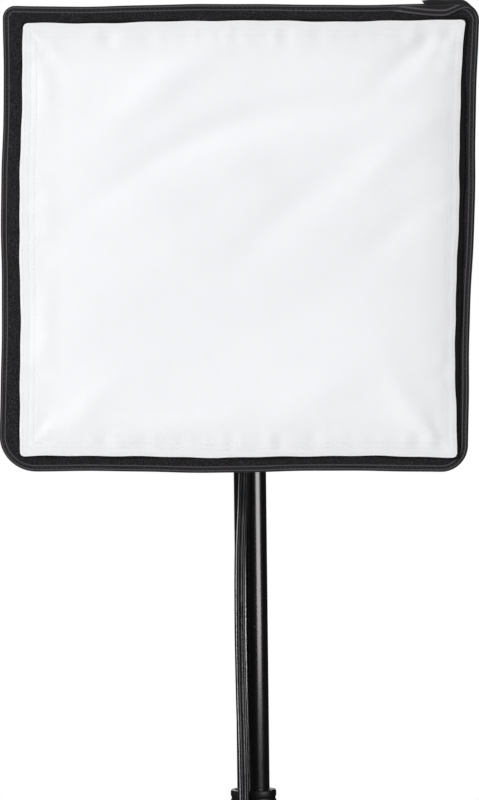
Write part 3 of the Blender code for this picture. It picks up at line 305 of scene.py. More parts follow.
def squared(angle, power):
    """Cosine and sine of an angle, each raised to a power with its sign kept: round a
    superellipse when the power is below 1."""
    c, s = np.cos(angle), np.sin(angle)
    return np.sign(c) * np.abs(c) ** power, np.sign(s) * np.abs(s) ** power


def stitches(line, out, length, gap, radius, closed=False):
    """(points, faces) of a row of stitches along a line, half sunk in the cloth. out is
    the cloth's outward direction at each point of the line."""
    step = length + gap
    if closed:
        line = np.concatenate([line, line[:1]])
        out = np.concatenate([out, out[:1]])
    gone = run_along(line)
    at = np.arange(step * 0.5, gone[-1] - step * 0.4, step)

    def pick(source, where):
        return np.stack([np.interp(where, gone, source[:, i]) for i in range(3)], 1)
    centre = pick(line, at)
    along = unit(pick(line, at + step * 0.2) - pick(line, at - step * 0.2))
    up = pick(out, at)
    up = unit(up - (up * along).sum(1, keepdims=True) * along)
    shape, faces = bead()
    return scattered(shape, faces, centre + up * radius * 0.35, along * length / 2,
                     up * radius, np.cross(along, up) * radius)


def smoothstep(x, a, b):
    """0 below a, 1 above b, and 3 t^2 - 2 t^3 between them."""
    t = np.clip((np.asarray(x, float) - a) / (b - a), 0, 1)
    return t * t * (3 - 2 * t)


def put(piece, body, slot, *nodes):
    """The piece rides on a body, takes the finish of a slot and stands for CAD nodes."""
    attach(piece, body)
    if nodes:
        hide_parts(*nodes)
    return piece


def body_of(node):
    return NODES[node]["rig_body"]


def add(name, shell, material, sharp, body, slot, *nodes, uv=None, closed=True):
    """Makes a piece from its (points, faces) and puts it in its place."""
    piece = make_mesh(name, *shell, M[material], sharp, uv, closed)
    return put(piece, body, slot, *nodes)


def add_stitches(name, rows, material, body, slot, axes=(0, 2)):
    """All rows of stitches of one piece of cloth as one piece."""
    piece = add(name, stacked(rows), material, 60, body, slot, closed=False)
    cloth_map(piece, axes)
    return piece


# ---------------------------------------------------------------- shader helpers
def feed(tree, socket, value):
    """Links an output to a socket, or sets the socket to a plain value."""
    if isinstance(value, bpy.types.NodeSocket):
        tree.links.new(value, socket)
    else:
        socket.default_value = value


def node(tree, kind, settings=(), **inputs):
    """A shader node with its settings, and its inputs set or linked by name; 'first' is
    the first input."""
    made = tree.nodes.new(kind)
    for key, value in dict(settings).items():
        setattr(made, key, value)
    for key, value in inputs.items():
        feed(tree, made.inputs[0 if key == "first" else key.replace("_", " ")], value)
    return made


def maths(tree, operation, a, b=None, c=None):
    """Output of a Math node."""
    made = tree.nodes.new("ShaderNodeMath")
    made.operation = operation
    for socket, value in zip(made.inputs, (a, b, c)):
        if value is not None:
            feed(tree, socket, value)
    return made.outputs[0]


def times(tree, a, b):
    return maths(tree, "MULTIPLY", a, b)


def largest(tree, masks):
    """The largest of several masks."""
    total = masks[0]
    for mask in masks[1:]:
        total = maths(tree, "MAXIMUM", total, mask)
    return total


def noise(tree, place, scale, detail, roughness=0.5, distortion=0.0):
    """Value of a noise texture at a place."""
    made = node(tree, "ShaderNodeTexNoise", Vector=place, Scale=scale, Detail=detail,
                Roughness=roughness, Distortion=distortion)
    return made.outputs[0]


def mixed(tree, share, a, b):
    """Colour a where share is 0 and b where it is 1."""
    made = tree.nodes.new("ShaderNodeMix")
    made.data_type = "RGBA"
    for index, value in ((0, share), (6, a), (7, b)):
        feed(tree, made.inputs[index], value)
    return made.outputs[2]


def ranged(tree, value, a, b, c, d):
    """A value from a..b moved to c..d, and held inside it."""
    made = node(tree, "ShaderNodeMapRange", Value=value)
    for index, number in zip((1, 2, 3, 4), (a, b, c, d)):
        made.inputs[index].default_value = number
    return made.outputs[0]


def group(name, inputs, outputs):
    """An empty node group with named sockets, and its input and output nodes."""
    tree = bpy.data.node_groups.new(name, "ShaderNodeTree")
    for label, kind, value in inputs:
        socket = tree.interface.new_socket(name=label, in_out="INPUT", socket_type=kind)
        if value is not None:
            socket.default_value = value
    for label, kind in outputs:
        tree.interface.new_socket(name=label, in_out="OUTPUT", socket_type=kind)
    return tree, tree.nodes.new("NodeGroupInput"), tree.nodes.new("NodeGroupOutput")


F, V = "NodeSocketFloat", "NodeSocketVector"


def weave_group():
    """Plain weave: two sets of threads, sin(u) and sin(v), each over the other in turn,
    with threads of slightly different tone. Scale is threads in a metre."""
    tree, i, o = group("Plain weave", [("Vector", V, None), ("Scale", F, 1400.0),
                                       ("Uneven", F, 0.3)],
                       [("Height", F), ("Tone", F)])
    turn = node(tree, "ShaderNodeVectorMath", {"operation": "SCALE"},
                first=i.outputs["Vector"])
    tree.links.new(i.outputs["Scale"], turn.inputs["Scale"])
    xyz = node(tree, "ShaderNodeSeparateXYZ", first=turn.outputs[0])
    su = maths(tree, "SINE", maths(tree, "MULTIPLY", xyz.outputs[0], math.pi))
    sv = maths(tree, "SINE", maths(tree, "MULTIPLY", xyz.outputs[1], math.pi))
    over = maths(tree, "MULTIPLY", su, sv)
    patchy = noise(tree, i.outputs["Vector"], 260.0, 3.0)
    uneven = times(tree, maths(tree, "SUBTRACT", patchy, 0.5), i.outputs["Uneven"])
    height = maths(tree, "ADD", maths(tree, "MULTIPLY_ADD", over, 0.5, 0.5), uneven)
    tree.links.new(height, o.inputs["Height"])
    tone = maths(tree, "ADD", maths(tree, "MULTIPLY", over, 0.25),
                 maths(tree, "ADD", uneven, 0.5))
    tree.links.new(tone, o.inputs["Tone"])
    return tree


def grain_group():
    """Moulded grain: fine Voronoi cells over broad noise, in object coordinates."""
    tree, i, o = group("Moulded grain", [("Vector", V, None), ("Scale", F, 900.0)],
                       [("Height", F), ("Cloud", F)])
    cells = node(tree, "ShaderNodeTexVoronoi", Vector=i.outputs["Vector"],
                 Scale=i.outputs["Scale"])
    cloud = noise(tree, i.outputs["Vector"], 38.0, 5.0, 0.6)
    fine = noise(tree, i.outputs["Vector"], 2200.0, 2.0)
    height = maths(tree, "MULTIPLY_ADD", fine, 0.4, cells.outputs[0])
    tree.links.new(height, o.inputs["Height"])
    tree.links.new(cloud, o.inputs["Cloud"])
    return tree


def wear_group():
    """Handling marks: stretched fine scratches, and dust that settles on faces that look
    up, each a mask from 0 to 1."""
    tree, i, o = group("Handling marks", [("Vector", V, None), ("Scratch scale", F, 60.0),
                                          ("Dust scale", F, 150.0)],
                       [("Scratches", F), ("Dust", F), ("Specks", F)])
    stretch = node(tree, "ShaderNodeMapping", Vector=i.outputs["Vector"],
                   Scale=(1.0, 1.0, 0.06))
    lines = noise(tree, stretch.outputs[0], i.outputs["Scratch scale"], 8.0, 0.75)
    tree.links.new(ranged(tree, lines, 0.60, 0.74, 0.0, 1.0), o.inputs["Scratches"])
    normal = node(tree, "ShaderNodeNewGeometry")
    up = node(tree, "ShaderNodeSeparateXYZ", first=normal.outputs["Normal"])
    cloud = noise(tree, i.outputs["Vector"], i.outputs["Dust scale"], 6.0, 0.7)
    dust = times(tree, ranged(tree, up.outputs[2], 0.2, 1.0, 0.0, 1.0),
                 ranged(tree, cloud, 0.45, 0.75, 0.0, 1.0))
    tree.links.new(dust, o.inputs["Dust"])
    specks = node(tree, "ShaderNodeTexVoronoi", Vector=i.outputs["Vector"], Scale=95.0)
    tree.links.new(ranged(tree, specks.outputs[0], 0.03, 0.06, 1.0, 0.0),
                   o.inputs["Specks"])
    return tree


GROUPS = {}


def use(tree, name, **inputs):
    """One of the shared groups, placed in a material."""
    builders = {"weave": weave_group, "grain": grain_group, "wear": wear_group}
    if name not in GROUPS:
        GROUPS[name] = builders[name]()
    made = tree.nodes.new("ShaderNodeGroup")
    made.node_tree = GROUPS[name]
    for key, value in inputs.items():
        feed(tree, made.inputs[key.replace("_", " ")], value)
    return made


def new_material(name, **constants):
    """A material, its tree, its shader with constants on its own sockets, and its object
    coordinates."""
    material = bpy.data.materials.new(name)
    material.use_nodes = True
    tree = material.node_tree
    shader = tree.nodes["Principled BSDF"]
    for key, value in constants.items():
        shader.inputs[key.replace("_", " ")].default_value = value
    place = tree.nodes.new("ShaderNodeTexCoord").outputs["Object"]
    return material, tree, shader, place


def wire(tree, shader, colour, rough, height, depth, strength):
    """Links a colour and a roughness to a shader, and a height through a bump."""
    tree.links.new(colour, shader.inputs["Base Color"])
    tree.links.new(rough, shader.inputs["Roughness"])
    made = node(tree, "ShaderNodeBump", Height=height, Distance=depth, Strength=strength)
    tree.links.new(made.outputs[0], shader.inputs["Normal"])


def grey(value, warm=0.0):
    return (value * (1 + warm), value, value * (1 - warm), 1.0)


def dyed(value):
    """Black dye of the tapes: a dark grey with a breath of violet."""
    return (value * 1.04, value * 0.96, value * 1.10, 1.0)


def paint_material(name, base, rough, dust):
    """Gloss paint on tube: broad unevenness, fine scratches, a few specks and dust."""
    m, t, s, place = new_material(name, IOR=1.6, Coat_Weight=1.0, Coat_Roughness=0.17,
                                  Coat_IOR=1.8)
    marks = use(t, "wear", Vector=place, Scratch_scale=85.0, Dust_scale=170.0)
    grain = use(t, "grain", Vector=place, Scale=620.0)
    dirty = times(t, marks.outputs["Dust"], dust)
    colour = mixed(t, dirty, base, grey(0.30, 0.05))
    colour = mixed(t, times(t, marks.outputs["Specks"], 0.35), colour, grey(0.25))
    worn = maths(t, "MULTIPLY_ADD", marks.outputs["Scratches"], 0.16,
                 ranged(t, grain.outputs["Cloud"], 0.3, 0.7, rough - 0.03, rough + 0.05))
    wire(t, s, colour, maths(t, "MULTIPLY_ADD", dirty, 0.4, worn),
         grain.outputs["Cloud"], 0.00004, 0.5)
    return m


def plastic_material(name, base, rough, dust, grain_scale, depth, ior=1.47):
    """Moulded plastic or rubber: fine grain, patchy gloss, scuffs and settled dust."""
    m, t, s, place = new_material(name, IOR=ior)
    grain = use(t, "grain", Vector=place, Scale=grain_scale)
    marks = use(t, "wear", Vector=place, Scratch_scale=45.0, Dust_scale=120.0)
    scuff = times(t, marks.outputs["Scratches"], 0.28)
    colour = mixed(t, scuff, base, grey(max(base[0] * 4, 0.08)))
    colour = mixed(t, times(t, marks.outputs["Dust"], dust), colour, grey(0.33, 0.06))
    gloss = ranged(t, grain.outputs["Cloud"], 0.3, 0.7, rough - 0.07, rough + 0.09)
    wire(t, s, colour, gloss, grain.outputs["Height"], depth, 0.6)
    return m


def darkened(base, share):
    """A colour with its three values multiplied by a share."""
    return tuple(c * share for c in base[:3]) + (1.0,)


def metal_material(name, base, rough):
    """Plated metal: fine brushed lines, patchy gloss, a little tarnish."""
    m, t, s, place = new_material(name, Metallic=1.0)
    lay = node(t, "ShaderNodeMapping", Vector=place, Scale=(1.0, 1.0, 14.0))
    lines = noise(t, lay.outputs[0], 420.0, 4.0)
    marks = use(t, "wear", Vector=place, Scratch_scale=70.0, Dust_scale=220.0)
    colour = mixed(t, ranged(t, lines, 0.3, 0.75, 0.0, 0.6), base, darkened(base, 0.62))
    gloss = maths(t, "MULTIPLY_ADD", marks.outputs["Scratches"], 0.15,
                  ranged(t, lines, 0.3, 0.7, rough - 0.05, rough + 0.08))
    wire(t, s, colour, gloss, lines, 0.00003, 0.5)
    return m


def cloth_coordinates(tree):
    return node(tree, "ShaderNodeUVMap", {"uv_map": "Cloth"}).outputs[0]


def woven_material(name, base, other, threads, depth, rough, sheen, lint_share):
    """Woven cloth on the piece's own Cloth map: weave bump, uneven thread tone, patchy
    gloss, lint."""
    m, t, s, place = new_material(name, Sheen_Weight=sheen, Sheen_Roughness=0.45,
                                  IOR=1.27 if base[0] < 0.1 else 1.45)
    weave = use(t, "weave", Vector=cloth_coordinates(t), Scale=threads, Uneven=0.35)
    cloud = noise(t, place, 26.0, 6.0, 0.62)
    colour = mixed(t, times(t, weave.outputs["Tone"], 0.35), base, other)
    colour = mixed(t, ranged(t, cloud, 0.35, 0.7, 0.0, 0.35), colour, other)
    lint = node(t, "ShaderNodeTexVoronoi", Vector=place, Scale=210.0)
    speck = ranged(t, lint.outputs[0], 0.04, 0.09, 1.0, 0.0)
    colour = mixed(t, times(t, speck, lint_share), colour, grey(0.4))
    wire(t, s, colour, ranged(t, cloud, 0.3, 0.7, rough - 0.06, rough + 0.08),
         weave.outputs["Height"], depth, 0.8)
    return m


RIDGE_HIGHLIGHT_HALF = 0.00085                # half the width of the painted highlight on a ridge's crest


def ridge_runs():
    """Distance across the tape of each ridge's crest."""
    face = binding_face()
    gone = run_along(face)
    crests = [int(np.argmin(face[:7, 1])), 8 + int(np.argmin(face[8:, 1]))]
    return [float(gone[k]) for k in crests]


def painted_ridge_light(material):
    """Rubs the binding's two sewn ridges lighter and its grooves darker, along the Cloth
    map's second coordinate, which runs across the tape."""
    t = material.node_tree
    shader = t.nodes["Principled BSDF"]
    link = shader.inputs["Base Color"].links[0]
    colour = link.from_socket
    across = node(t, "ShaderNodeSeparateXYZ", first=cloth_coordinates(t)).outputs[1]
    lines = []
    for centre in ridge_runs():
        away = maths(t, "ABSOLUTE", maths(t, "SUBTRACT", across, centre))
        lines.append(ranged(t, away, 0.0, RIDGE_HIGHLIGHT_HALF, 1.0, 0.0))
    total = largest(t, lines)
    # painted shade away from the crests, painted highlight on them
    painted_groove_shade = mixed(t, 0.5, colour, (0.006, 0.006, 0.006, 1.0))
    painted_crest_highlight = mixed(t, 0.7, colour, dyed(0.125))
    t.links.new(mixed(t, total, painted_groove_shade, painted_crest_highlight), shader.inputs["Base Color"])


def pile_material(name, base, light):
    """Loop pile: dark fibres with pale flecks."""
    m, t, s, place = new_material(name, Sheen_Weight=0.10, Sheen_Roughness=0.5,
                                  IOR=1.27)
    fleck = noise(t, place, 1150.0, 3.0, 0.7)
    patch = noise(t, place, 150.0, 4.0)
    share = times(t, ranged(t, fleck, 0.48, 0.72, 0.0, 1.0),
                  ranged(t, patch, 0.3, 0.7, 0.35, 1.0))
    wire(t, s, mixed(t, share, base, light), ranged(t, patch, 0.3, 0.7, 0.75, 0.95),
         fleck, 0.0003, 0.9)
    return m


def diffuser_material(white):
    """Thin white nylon: fine weave, faint grey clouds of handling, soft sheen, and a
    greyer rim where the hem lies over the hook tape."""
    m, t, s, place = new_material("white_diffuser_nylon", Sheen_Weight=0.12,
                                  Sheen_Roughness=0.4, IOR=1.45)
    weave = use(t, "weave", Vector=cloth_coordinates(t), Scale=1800.0, Uneven=0.5)
    cloud = noise(t, place, 11.0, 5.0, 0.55)
    colour = mixed(t, ranged(t, cloud, 0.35, 0.7, 0.0, 0.8), darkened(white, 1.0),
                   darkened(white, 0.95))
    colour = mixed(t, times(t, weave.outputs["Tone"], 0.05), colour, grey(0.6))
    flat = node(t, "ShaderNodeSeparateXYZ", first=cloth_coordinates(t))
    # greyer within 26 mm of each edge: painted shade of the cloth turning away at its
    # edges, with the hem over the hook tape
    hem_and_painted_edge_shade = []
    for axis, half in ((0, DIFFUSER_X), (1, DIFFUSER_Z)):
        away = maths(t, "SUBTRACT", half, maths(t, "ABSOLUTE", flat.outputs[axis]))
        hem_and_painted_edge_shade.append(ranged(t, away, 0.0, 0.026, 1.0, 0.0))
    colour = mixed(t, times(t, largest(t, hem_and_painted_edge_shade), 0.45), colour, grey(0.70))
    wire(t, s, colour, ranged(t, cloud, 0.3, 0.7, 0.5, 0.62), weave.outputs["Height"],
         0.00008, 0.5)
    return m


def silver_material():
    """Aluminised lining: crinkled reflective film over a weave."""
    m, t, s, place = new_material("silver_lining", Metallic=0.85)
    crinkle = noise(t, place, 95.0, 7.0, 0.65, 0.6)
    weave = use(t, "weave", Vector=cloth_coordinates(t), Scale=1300.0, Uneven=0.4)
    colour = mixed(t, ranged(t, crinkle, 0.35, 0.7, 0.0, 1.0), grey(0.72), grey(0.5))
    gloss = ranged(t, crinkle, 0.3, 0.7, 0.28, 0.48)
    height = maths(t, "MULTIPLY_ADD", crinkle, 4.0, weave.outputs["Height"])
    wire(t, s, colour, gloss, height, 0.0002, 0.7)
    return m


def glaze_material(name, base, rough, coat, depth):
    """Glazed ceramic, opal glass or gloss plastic: faint clouds under a smooth coat."""
    m, t, s, place = new_material(name, IOR=1.5, Coat_Weight=coat, Coat_Roughness=0.06)
    cloud = noise(t, place, 70.0, 4.0)
    grain = use(t, "grain", Vector=place, Scale=500.0)
    colour = mixed(t, ranged(t, cloud, 0.35, 0.7, 0.0, 1.0), base, darkened(base, 0.9))
    wire(t, s, colour, ranged(t, cloud, 0.3, 0.7, rough - 0.03, rough + 0.05),
         grain.outputs["Cloud"], depth, 0.4)
    return m


M = {}


def build_materials():
    """Every finish of the object, once."""
    settings = bpy.context.scene.softbox_finish
    black = tuple(settings.paint_colour) + (1.0,)
    cloth = tuple(settings.cloth_colour) + (1.0,)
    dust = settings.dust
    M["paint"] = paint_material("gloss_black_paint", black, 0.24, dust)
    # colour, roughness, grain scale, grain depth, index of refraction
    for key, name, *looks in (
            ("plastic", "moulded_black_plastic", grey(0.008), 0.36, 950.0, 0.00006, 1.47),
            ("grip", "grip_plastic", grey(0.009), 0.46, 700.0, 0.00009, 1.47),
            ("rubber", "foot_rubber", grey(0.02), 0.72, 520.0, 0.00012, 1.47),
            ("jacket", "cord_jacket_vinyl", (0.006, 0.007, 0.009, 1.0), 0.20, 1500.0,
             0.00002, 1.75)):
        M[key] = plastic_material(name, *looks[:2], dust, *looks[2:])
    M["steel"] = metal_material("zinc_steel", grey(0.62), 0.32)
    M["brass"] = metal_material("nickelled_brass", (0.80, 0.68, 0.42, 1.0), 0.42)
    # colour, roughness, coat, depth
    for key, name, *looks in (
            ("ceramic", "glazed_ceramic", (0.80, 0.79, 0.75, 1.0), 0.22, 0.5, 0.00003),
            ("opal", "opal_glass", (0.88, 0.88, 0.86, 1.0), 0.20, 0.6, 0.00003),
            ("white", "white_lamp_plastic", (0.80, 0.80, 0.79, 1.0), 0.38, 0.0,
             0.00006)):
        M[key] = glaze_material(name, *looks)
    M["diffuser"] = diffuser_material(settings.diffuser_colour)
    M["silver"] = silver_material()
    # two colours, threads in a metre, depth, roughness, sheen, lint
    for key, name, *looks, lint in (
            ("shell", "black_shell_nylon", cloth, grey(0.032), 1500.0, 0.00010, 0.55,
             0.25, 0.5),
            ("piping", "black_tab_tape", dyed(0.007), dyed(0.019), 1050.0, 0.00014, 0.62,
             0.08, 0.5),
            ("binding", "black_binding_tape", dyed(0.010), dyed(0.026), 1050.0, 0.00014,
             0.62, 0.08, 0.5),
            ("thread", "black_thread", grey(0.035), grey(0.09), 2600.0, 0.0001, 0.5,
             0.2, 0.5),
            ("white_thread", "white_thread", grey(0.80), grey(0.86), 2600.0, 0.0001, 0.5,
             0.2, 0.1),
            ("tie", "cord_tie_tape", grey(0.02), grey(0.05), 900.0, 0.0002, 0.7, 0.4,
             0.5)):
        M[key] = woven_material(name, *looks, lint * dust)
    # painted highlight on the binding's ridge crests, painted shade over the rest of it
    painted_ridge_light(M["binding"])
    M["pile"] = pile_material("loop_pile", dyed(0.006), dyed(0.078))
    M["hook"] = pile_material("hook_tape", grey(0.0015), grey(0.008))


# ---------------------------------------------------------------- softbox
FORWARD = [0.0, -1.0, 0.0]


def binding_face():
    """Inset and depth across the binding's face: two sewn ridges, Gaussian in section."""
    u = np.linspace(0, 1, 15)
    ridges = (0.00080 * np.exp(-((u - 0.22) / 0.11) ** 2)
              + 0.00075 * np.exp(-((u - 0.84) / 0.11) ** 2))
    return np.stack([u * BINDING_WIDE, FRONT_Y + 0.0006 * (2 * u - 1) ** 4 - ridges
                     - 0.0001], 1)


def square_ring(half_x, half_z, radii):
    """x and z of points round a square whose corners are arcs, and their outward
    directions: upper right corner first, then against the clock as seen from the front.
    Sides have SIDE_POINTS points between arcs of CORNER_POINTS points."""
    line, out = [], []
    signs = ((1, 1), (-1, 1), (-1, -1), (1, -1))
    arcs = []
    for k, (sx, sz) in enumerate(signs):
        r = max(radii[k], 0.0006)
        angle = math.pi / 2 * k + np.linspace(0, math.pi / 2, CORNER_POINTS)
        way = np.stack([np.cos(angle), np.sin(angle)], 1)
        centre = np.array([sx * (half_x - r), sz * (half_z - r)])
        arcs.append((centre + r * way, way))
    u = np.linspace(0, 1, SIDE_POINTS + 2)[1:-1, None]
    for k, (arc, way) in enumerate(arcs):
        line += [arc, arc[-1] * (1 - u) + arcs[(k + 1) % 4][0][0] * u]
        out += [way, np.repeat(way[-1:], SIDE_POINTS, 0)]
    return np.concatenate(line), np.concatenate(out)


def pulled(x, z, pulls, share=1.0):
    """Moves points of the front by its four corner pulls, blended over the square as
    u v, and by a slow waviness of the cloth, sines along x and z."""
    u = np.clip(x / HALF_X, -1.05, 1.05) * 0.5 + 0.5
    v = np.clip(z / HALF_Z, -1.05, 1.05) * 0.5 + 0.5
    weights = np.stack([u * v, (1 - u) * v, (1 - u) * (1 - v), u * (1 - v)], -1)
    move = weights @ pulls
    wave_x = 0.00055 * np.sin(z * 41.0 + 0.8) * (2 * u - 1)
    wave_z = 0.00060 * np.sin(x * 37.0 + 2.1) * (2 * v - 1)
    return x + (move[..., 0] + wave_x) * share, z + (move[..., 1] + wave_z) * share


def front_ring(inset, pulls=FRONT_PULL, half=(HALF_X, HALF_Z), radii=FRONT_RADII):
    """The front's outline drawn in by an inset, pulled as the cloth is: (n, 2) and
    outward directions."""
    line, out = square_ring(half[0] - inset, half[1] - inset,
                            [max(r - inset, 0.0012) for r in radii])
    x, z = pulled(line[:, 0], line[:, 1], pulls)
    return np.stack([x, z], 1), out


def lifted(ring, y):
    """Ring points of x, z at a depth y (one number or one for each) in the frame."""
    return np.stack([ring[:, 0], np.broadcast_to(y, len(ring)), ring[:, 1] + LAMP_Z], 1)


def banded(profile, pulls, half, radii, depth_wave=0.0, inset_wave=0.0):
    """(points, faces, uv) of a closed profile of (inset, depth) carried round the front's
    outline. depth_wave and inset_wave add slow sines along the run."""
    rows, uvs = [], []
    walked = 0.0
    gone = run_along(front_ring(0.0, pulls, half, radii)[0])
    for k, (inset, y) in enumerate(profile):
        wobble = inset_wave * (np.sin(gone * 61.0 + 1.0) + 0.7 * np.sin(gone * 143.0))
        ring, out = front_ring(inset, pulls, half, radii)
        ring = ring + out * wobble[:, None]
        deep = y + depth_wave * (np.sin(gone * 52.0 + 0.4)
                                 + 0.6 * np.sin(gone * 118.0 + 1.9))
        rows.append(lifted(ring, deep))
        uvs.append(np.stack([gone, np.full(len(gone), walked)], 1))
        following = profile[(k + 1) % len(profile)]
        walked += math.hypot(following[0] - inset, following[1] - y)
    faces = grid_faces(len(profile), len(gone), True, True)
    return np.concatenate(rows), faces, np.concatenate(uvs)


def build_binding():
    """The folded tape round the front edge: a rounded channel section with two raised
    sewn ridges on its face, and two rows of stitches in the grooves beside them."""
    w = BINDING_WIDE
    y0 = FRONT_Y
    face = binding_face()
    side = np.array([[w, y0 + 0.0014], [w * 0.92, y0 + 0.0022], [w * 0.55, y0 + 0.0026],
                     [w * 0.50, y0 + 0.0060], [w * 0.30, y0 + 0.0066],
                     [0.0, y0 + 0.0064], [-0.00045, y0 + 0.0045],
                     [-0.00055, y0 + 0.0025], [-0.00035, y0 + 0.0010]])
    *shell, uv = banded(np.concatenate([face, side]), FRONT_PULL, (HALF_X, HALF_Z),
                        FRONT_RADII, 0.00022, 0.00010)
    add("edge_binding_tape", shell, "binding", 60, body_of("edge_binding"),
        "black_nylon", "edge_binding", uv=uv)
    rows = []
    for inset in (w * 0.51, w * 0.93):
        line = lifted(front_ring(inset)[0], y0 - 0.00005)
        rows.append(stitches(line, np.broadcast_to(FORWARD, line.shape),
                             0.0022, 0.0009, 0.00020, True))
    add_stitches("binding_stitches", rows, "thread", body_of("edge_binding"),
                 "black_nylon")


def cloth_map(piece, axes=(0, 2)):
    """Lays the Cloth map flat over a small piece, from two of its coordinates."""
    co = np.zeros(len(piece.data.vertices) * 3, np.float32)
    piece.data.vertices.foreach_get("co", co)
    set_cloth_map(piece.data, co.reshape(-1, 3)[:, list(axes)])


def top_outline(x):
    """Height above the lamp's axis of the front's upper outline at x, round the upper
    right corner's arc."""
    r = FRONT_RADII[0]
    over = np.clip(x - (HALF_X - r), 0.0, r * 0.999)
    return HALF_Z - r + np.sqrt(r * r - over * over)


def thin_patch(name, front, thickness, material, across=None):
    """A closed thin piece from a grid of points on its face: the same grid set back by
    its thickness, joined round the rim. across, if given, is the Cloth map's second
    coordinate on the grid."""
    back = front + np.array([0, thickness, 0])
    loop = np.concatenate([front, back[:, ::-1]], 1)
    piece = add(name, (loop, tube_faces(*loop.shape[:2])), material, 50,
                body_of("edge_binding"), "black_nylon")
    cloth_map(piece)
    if across is not None:
        both = np.concatenate([across, across[:, ::-1]], 1)
        set_cloth_map(piece.data, np.stack([loop[..., 0].ravel(), both.ravel()], 1))


TAB_START, TAB_END = 0.1492, 0.1135    # x of the loose end's root and tip
LAP_START, LAP_END = 0.0900, 0.1465    # x of the lapped end's two ends


def build_corner_tab():
    """The side binding's loose end, turned over the upper edge: a strip that stands up
    from the edge, rising then ending in a ragged point, and under it the end of the
    upper binding lapped over the corner and cut aslant."""
    s = np.linspace(0, 1, 54)[:, None]
    v = np.linspace(0, 1, 11)[None, :]
    ragged = 0.0030 * (1 - v) ** 0.6 + 0.0007 * np.sin(v * 13.0)
    x = TAB_START + (TAB_END + ragged - TAB_START) * s
    rise = 0.0031 * smoothstep(s, 0.02, 0.40) + 0.00035 * np.sin(s * 9.0)
    rise = rise * (1 - 0.25 * smoothstep(s, 0.75, 1.0))
    z = top_outline(x) - 0.0009 + v * (0.0010 + rise)
    x, z = pulled(x, z, FRONT_PULL)
    y = FRONT_Y - 0.0004 - 0.0009 * np.sin(v * math.pi) + 0.0030 * v * v
    front = np.stack(np.broadcast_arrays(x, y, z + LAMP_Z), -1)
    thin_patch("binding_loose_tab", front, 0.0008, "piping")

    s = np.linspace(0, 1, 40)[:, None]
    v = np.linspace(0, 1, 13)[None, :]
    x = LAP_START + (LAP_END - LAP_START) * s
    deep = 0.0024 + 0.0042 * smoothstep(s, 0.0, 0.66)
    deep = deep * (1 - smoothstep(s, 0.68, 1.0) ** 0.8) + 0.0004
    inset = 0.0010 + v * deep
    z = top_outline(x) - inset
    x, z = pulled(np.broadcast_to(x, z.shape), z, FRONT_PULL)
    lip = 0.0007 * np.exp(-((v - 0.90) / 0.07) ** 2) * smoothstep(s, 0.1, 0.5)
    y = FRONT_Y - 0.00125 * smoothstep(s, 0.0, 0.35) + 0.0002 - lip
    front = np.stack(np.broadcast_arrays(x, y, z + LAMP_Z), -1)
    # the lap's lip takes the binding's painted crest highlight
    across = ridge_runs()[1] + (v - 0.90) * deep
    thin_patch("binding_corner_lap", front, 0.0006, "binding", across)


TAPE_WIDE = 0.0150                 # loop tape inside the binding
LOOPS_WIDE = 0.0105                # the part of it that the diffuser leaves bare
LOOP_COUNT = 5200


def build_loop_tape():
    """Loop tape sewn inside the binding: a thin woven ground, its face slightly
    crowned, and a pile of small bent loops scattered over the part that the diffuser
    leaves bare."""
    inner = BINDING_WIDE + TAPE_WIDE
    y0 = FRONT_Y
    u = np.linspace(0, 1, 9)
    face = np.stack([BINDING_WIDE - 0.0008 + u * (inner - BINDING_WIDE + 0.0008),
                     y0 - 0.0003 * np.sin(math.pi * u)], 1)
    back = face[::-1] + np.array([0.0, 0.0010])
    back[:, 1] = y0 + 0.0010
    *shell, uv = banded(np.concatenate([face, back]), FRONT_PULL, (HALF_X, HALF_Z),
                        FRONT_RADII, 0.00008, 0.0)
    add("loop_tape_ground", shell, "pile", 60, body_of("loop_tape"), "loop_tape",
        "loop_tape", uv=uv)
    rng = np.random.default_rng(SEED)
    count = LOOP_COUNT
    outer_ring = front_ring(BINDING_WIDE)[0]
    inner_ring = front_ring(BINDING_WIDE + LOOPS_WIDE)[0]
    n = len(outer_ring)
    weight = np.linalg.norm(np.roll(outer_ring, -1, 0) - outer_ring, axis=1)
    index = rng.choice(n, count, p=weight / weight.sum())
    along = rng.random(count)[:, None]
    deep = rng.random(count)[:, None]
    a = outer_ring[index] * (1 - along) + outer_ring[(index + 1) % n] * along
    b = inner_ring[index] * (1 - along) + inner_ring[(index + 1) % n] * along
    place = lifted(a * (1 - deep) + b * deep, y0 - 0.0002)
    angle = np.linspace(0, math.pi, 5)
    arc = np.stack([np.cos(angle), np.sin(angle), 0 * angle], 1)
    square = np.array([[1, 0], [0, 1], [-1, 0], [0, -1]]) * 0.16
    shape = (arc[:, None] + arc[:, None] * square[None, :, :1] * np.array([1, 1, 0])
             + np.array([0, 0, 1]) * square[None, :, 1:]).reshape(-1, 3)
    loop_faces = grid_faces(5, 4, False, True)
    turn = rng.random(count) * 2 * math.pi
    size = 0.00034 + 0.00030 * rng.random(count)
    lean = (rng.random((count, 3)) - 0.5) * 0.9
    up = unit(np.array([0.0, -1.0, 0.0]) + lean)
    side = np.stack([np.cos(turn), np.zeros(count), np.sin(turn)], 1)
    side = unit(side - (side * up).sum(1, keepdims=True) * up)
    loops = scattered(shape, loop_faces, place, side * size[:, None],
                      up * size[:, None] * 1.1, np.cross(side, up) * size[:, None])
    add("loop_tape_pile", loops, "pile", 80, body_of("loop_tape"), "loop_tape",
        closed=False)


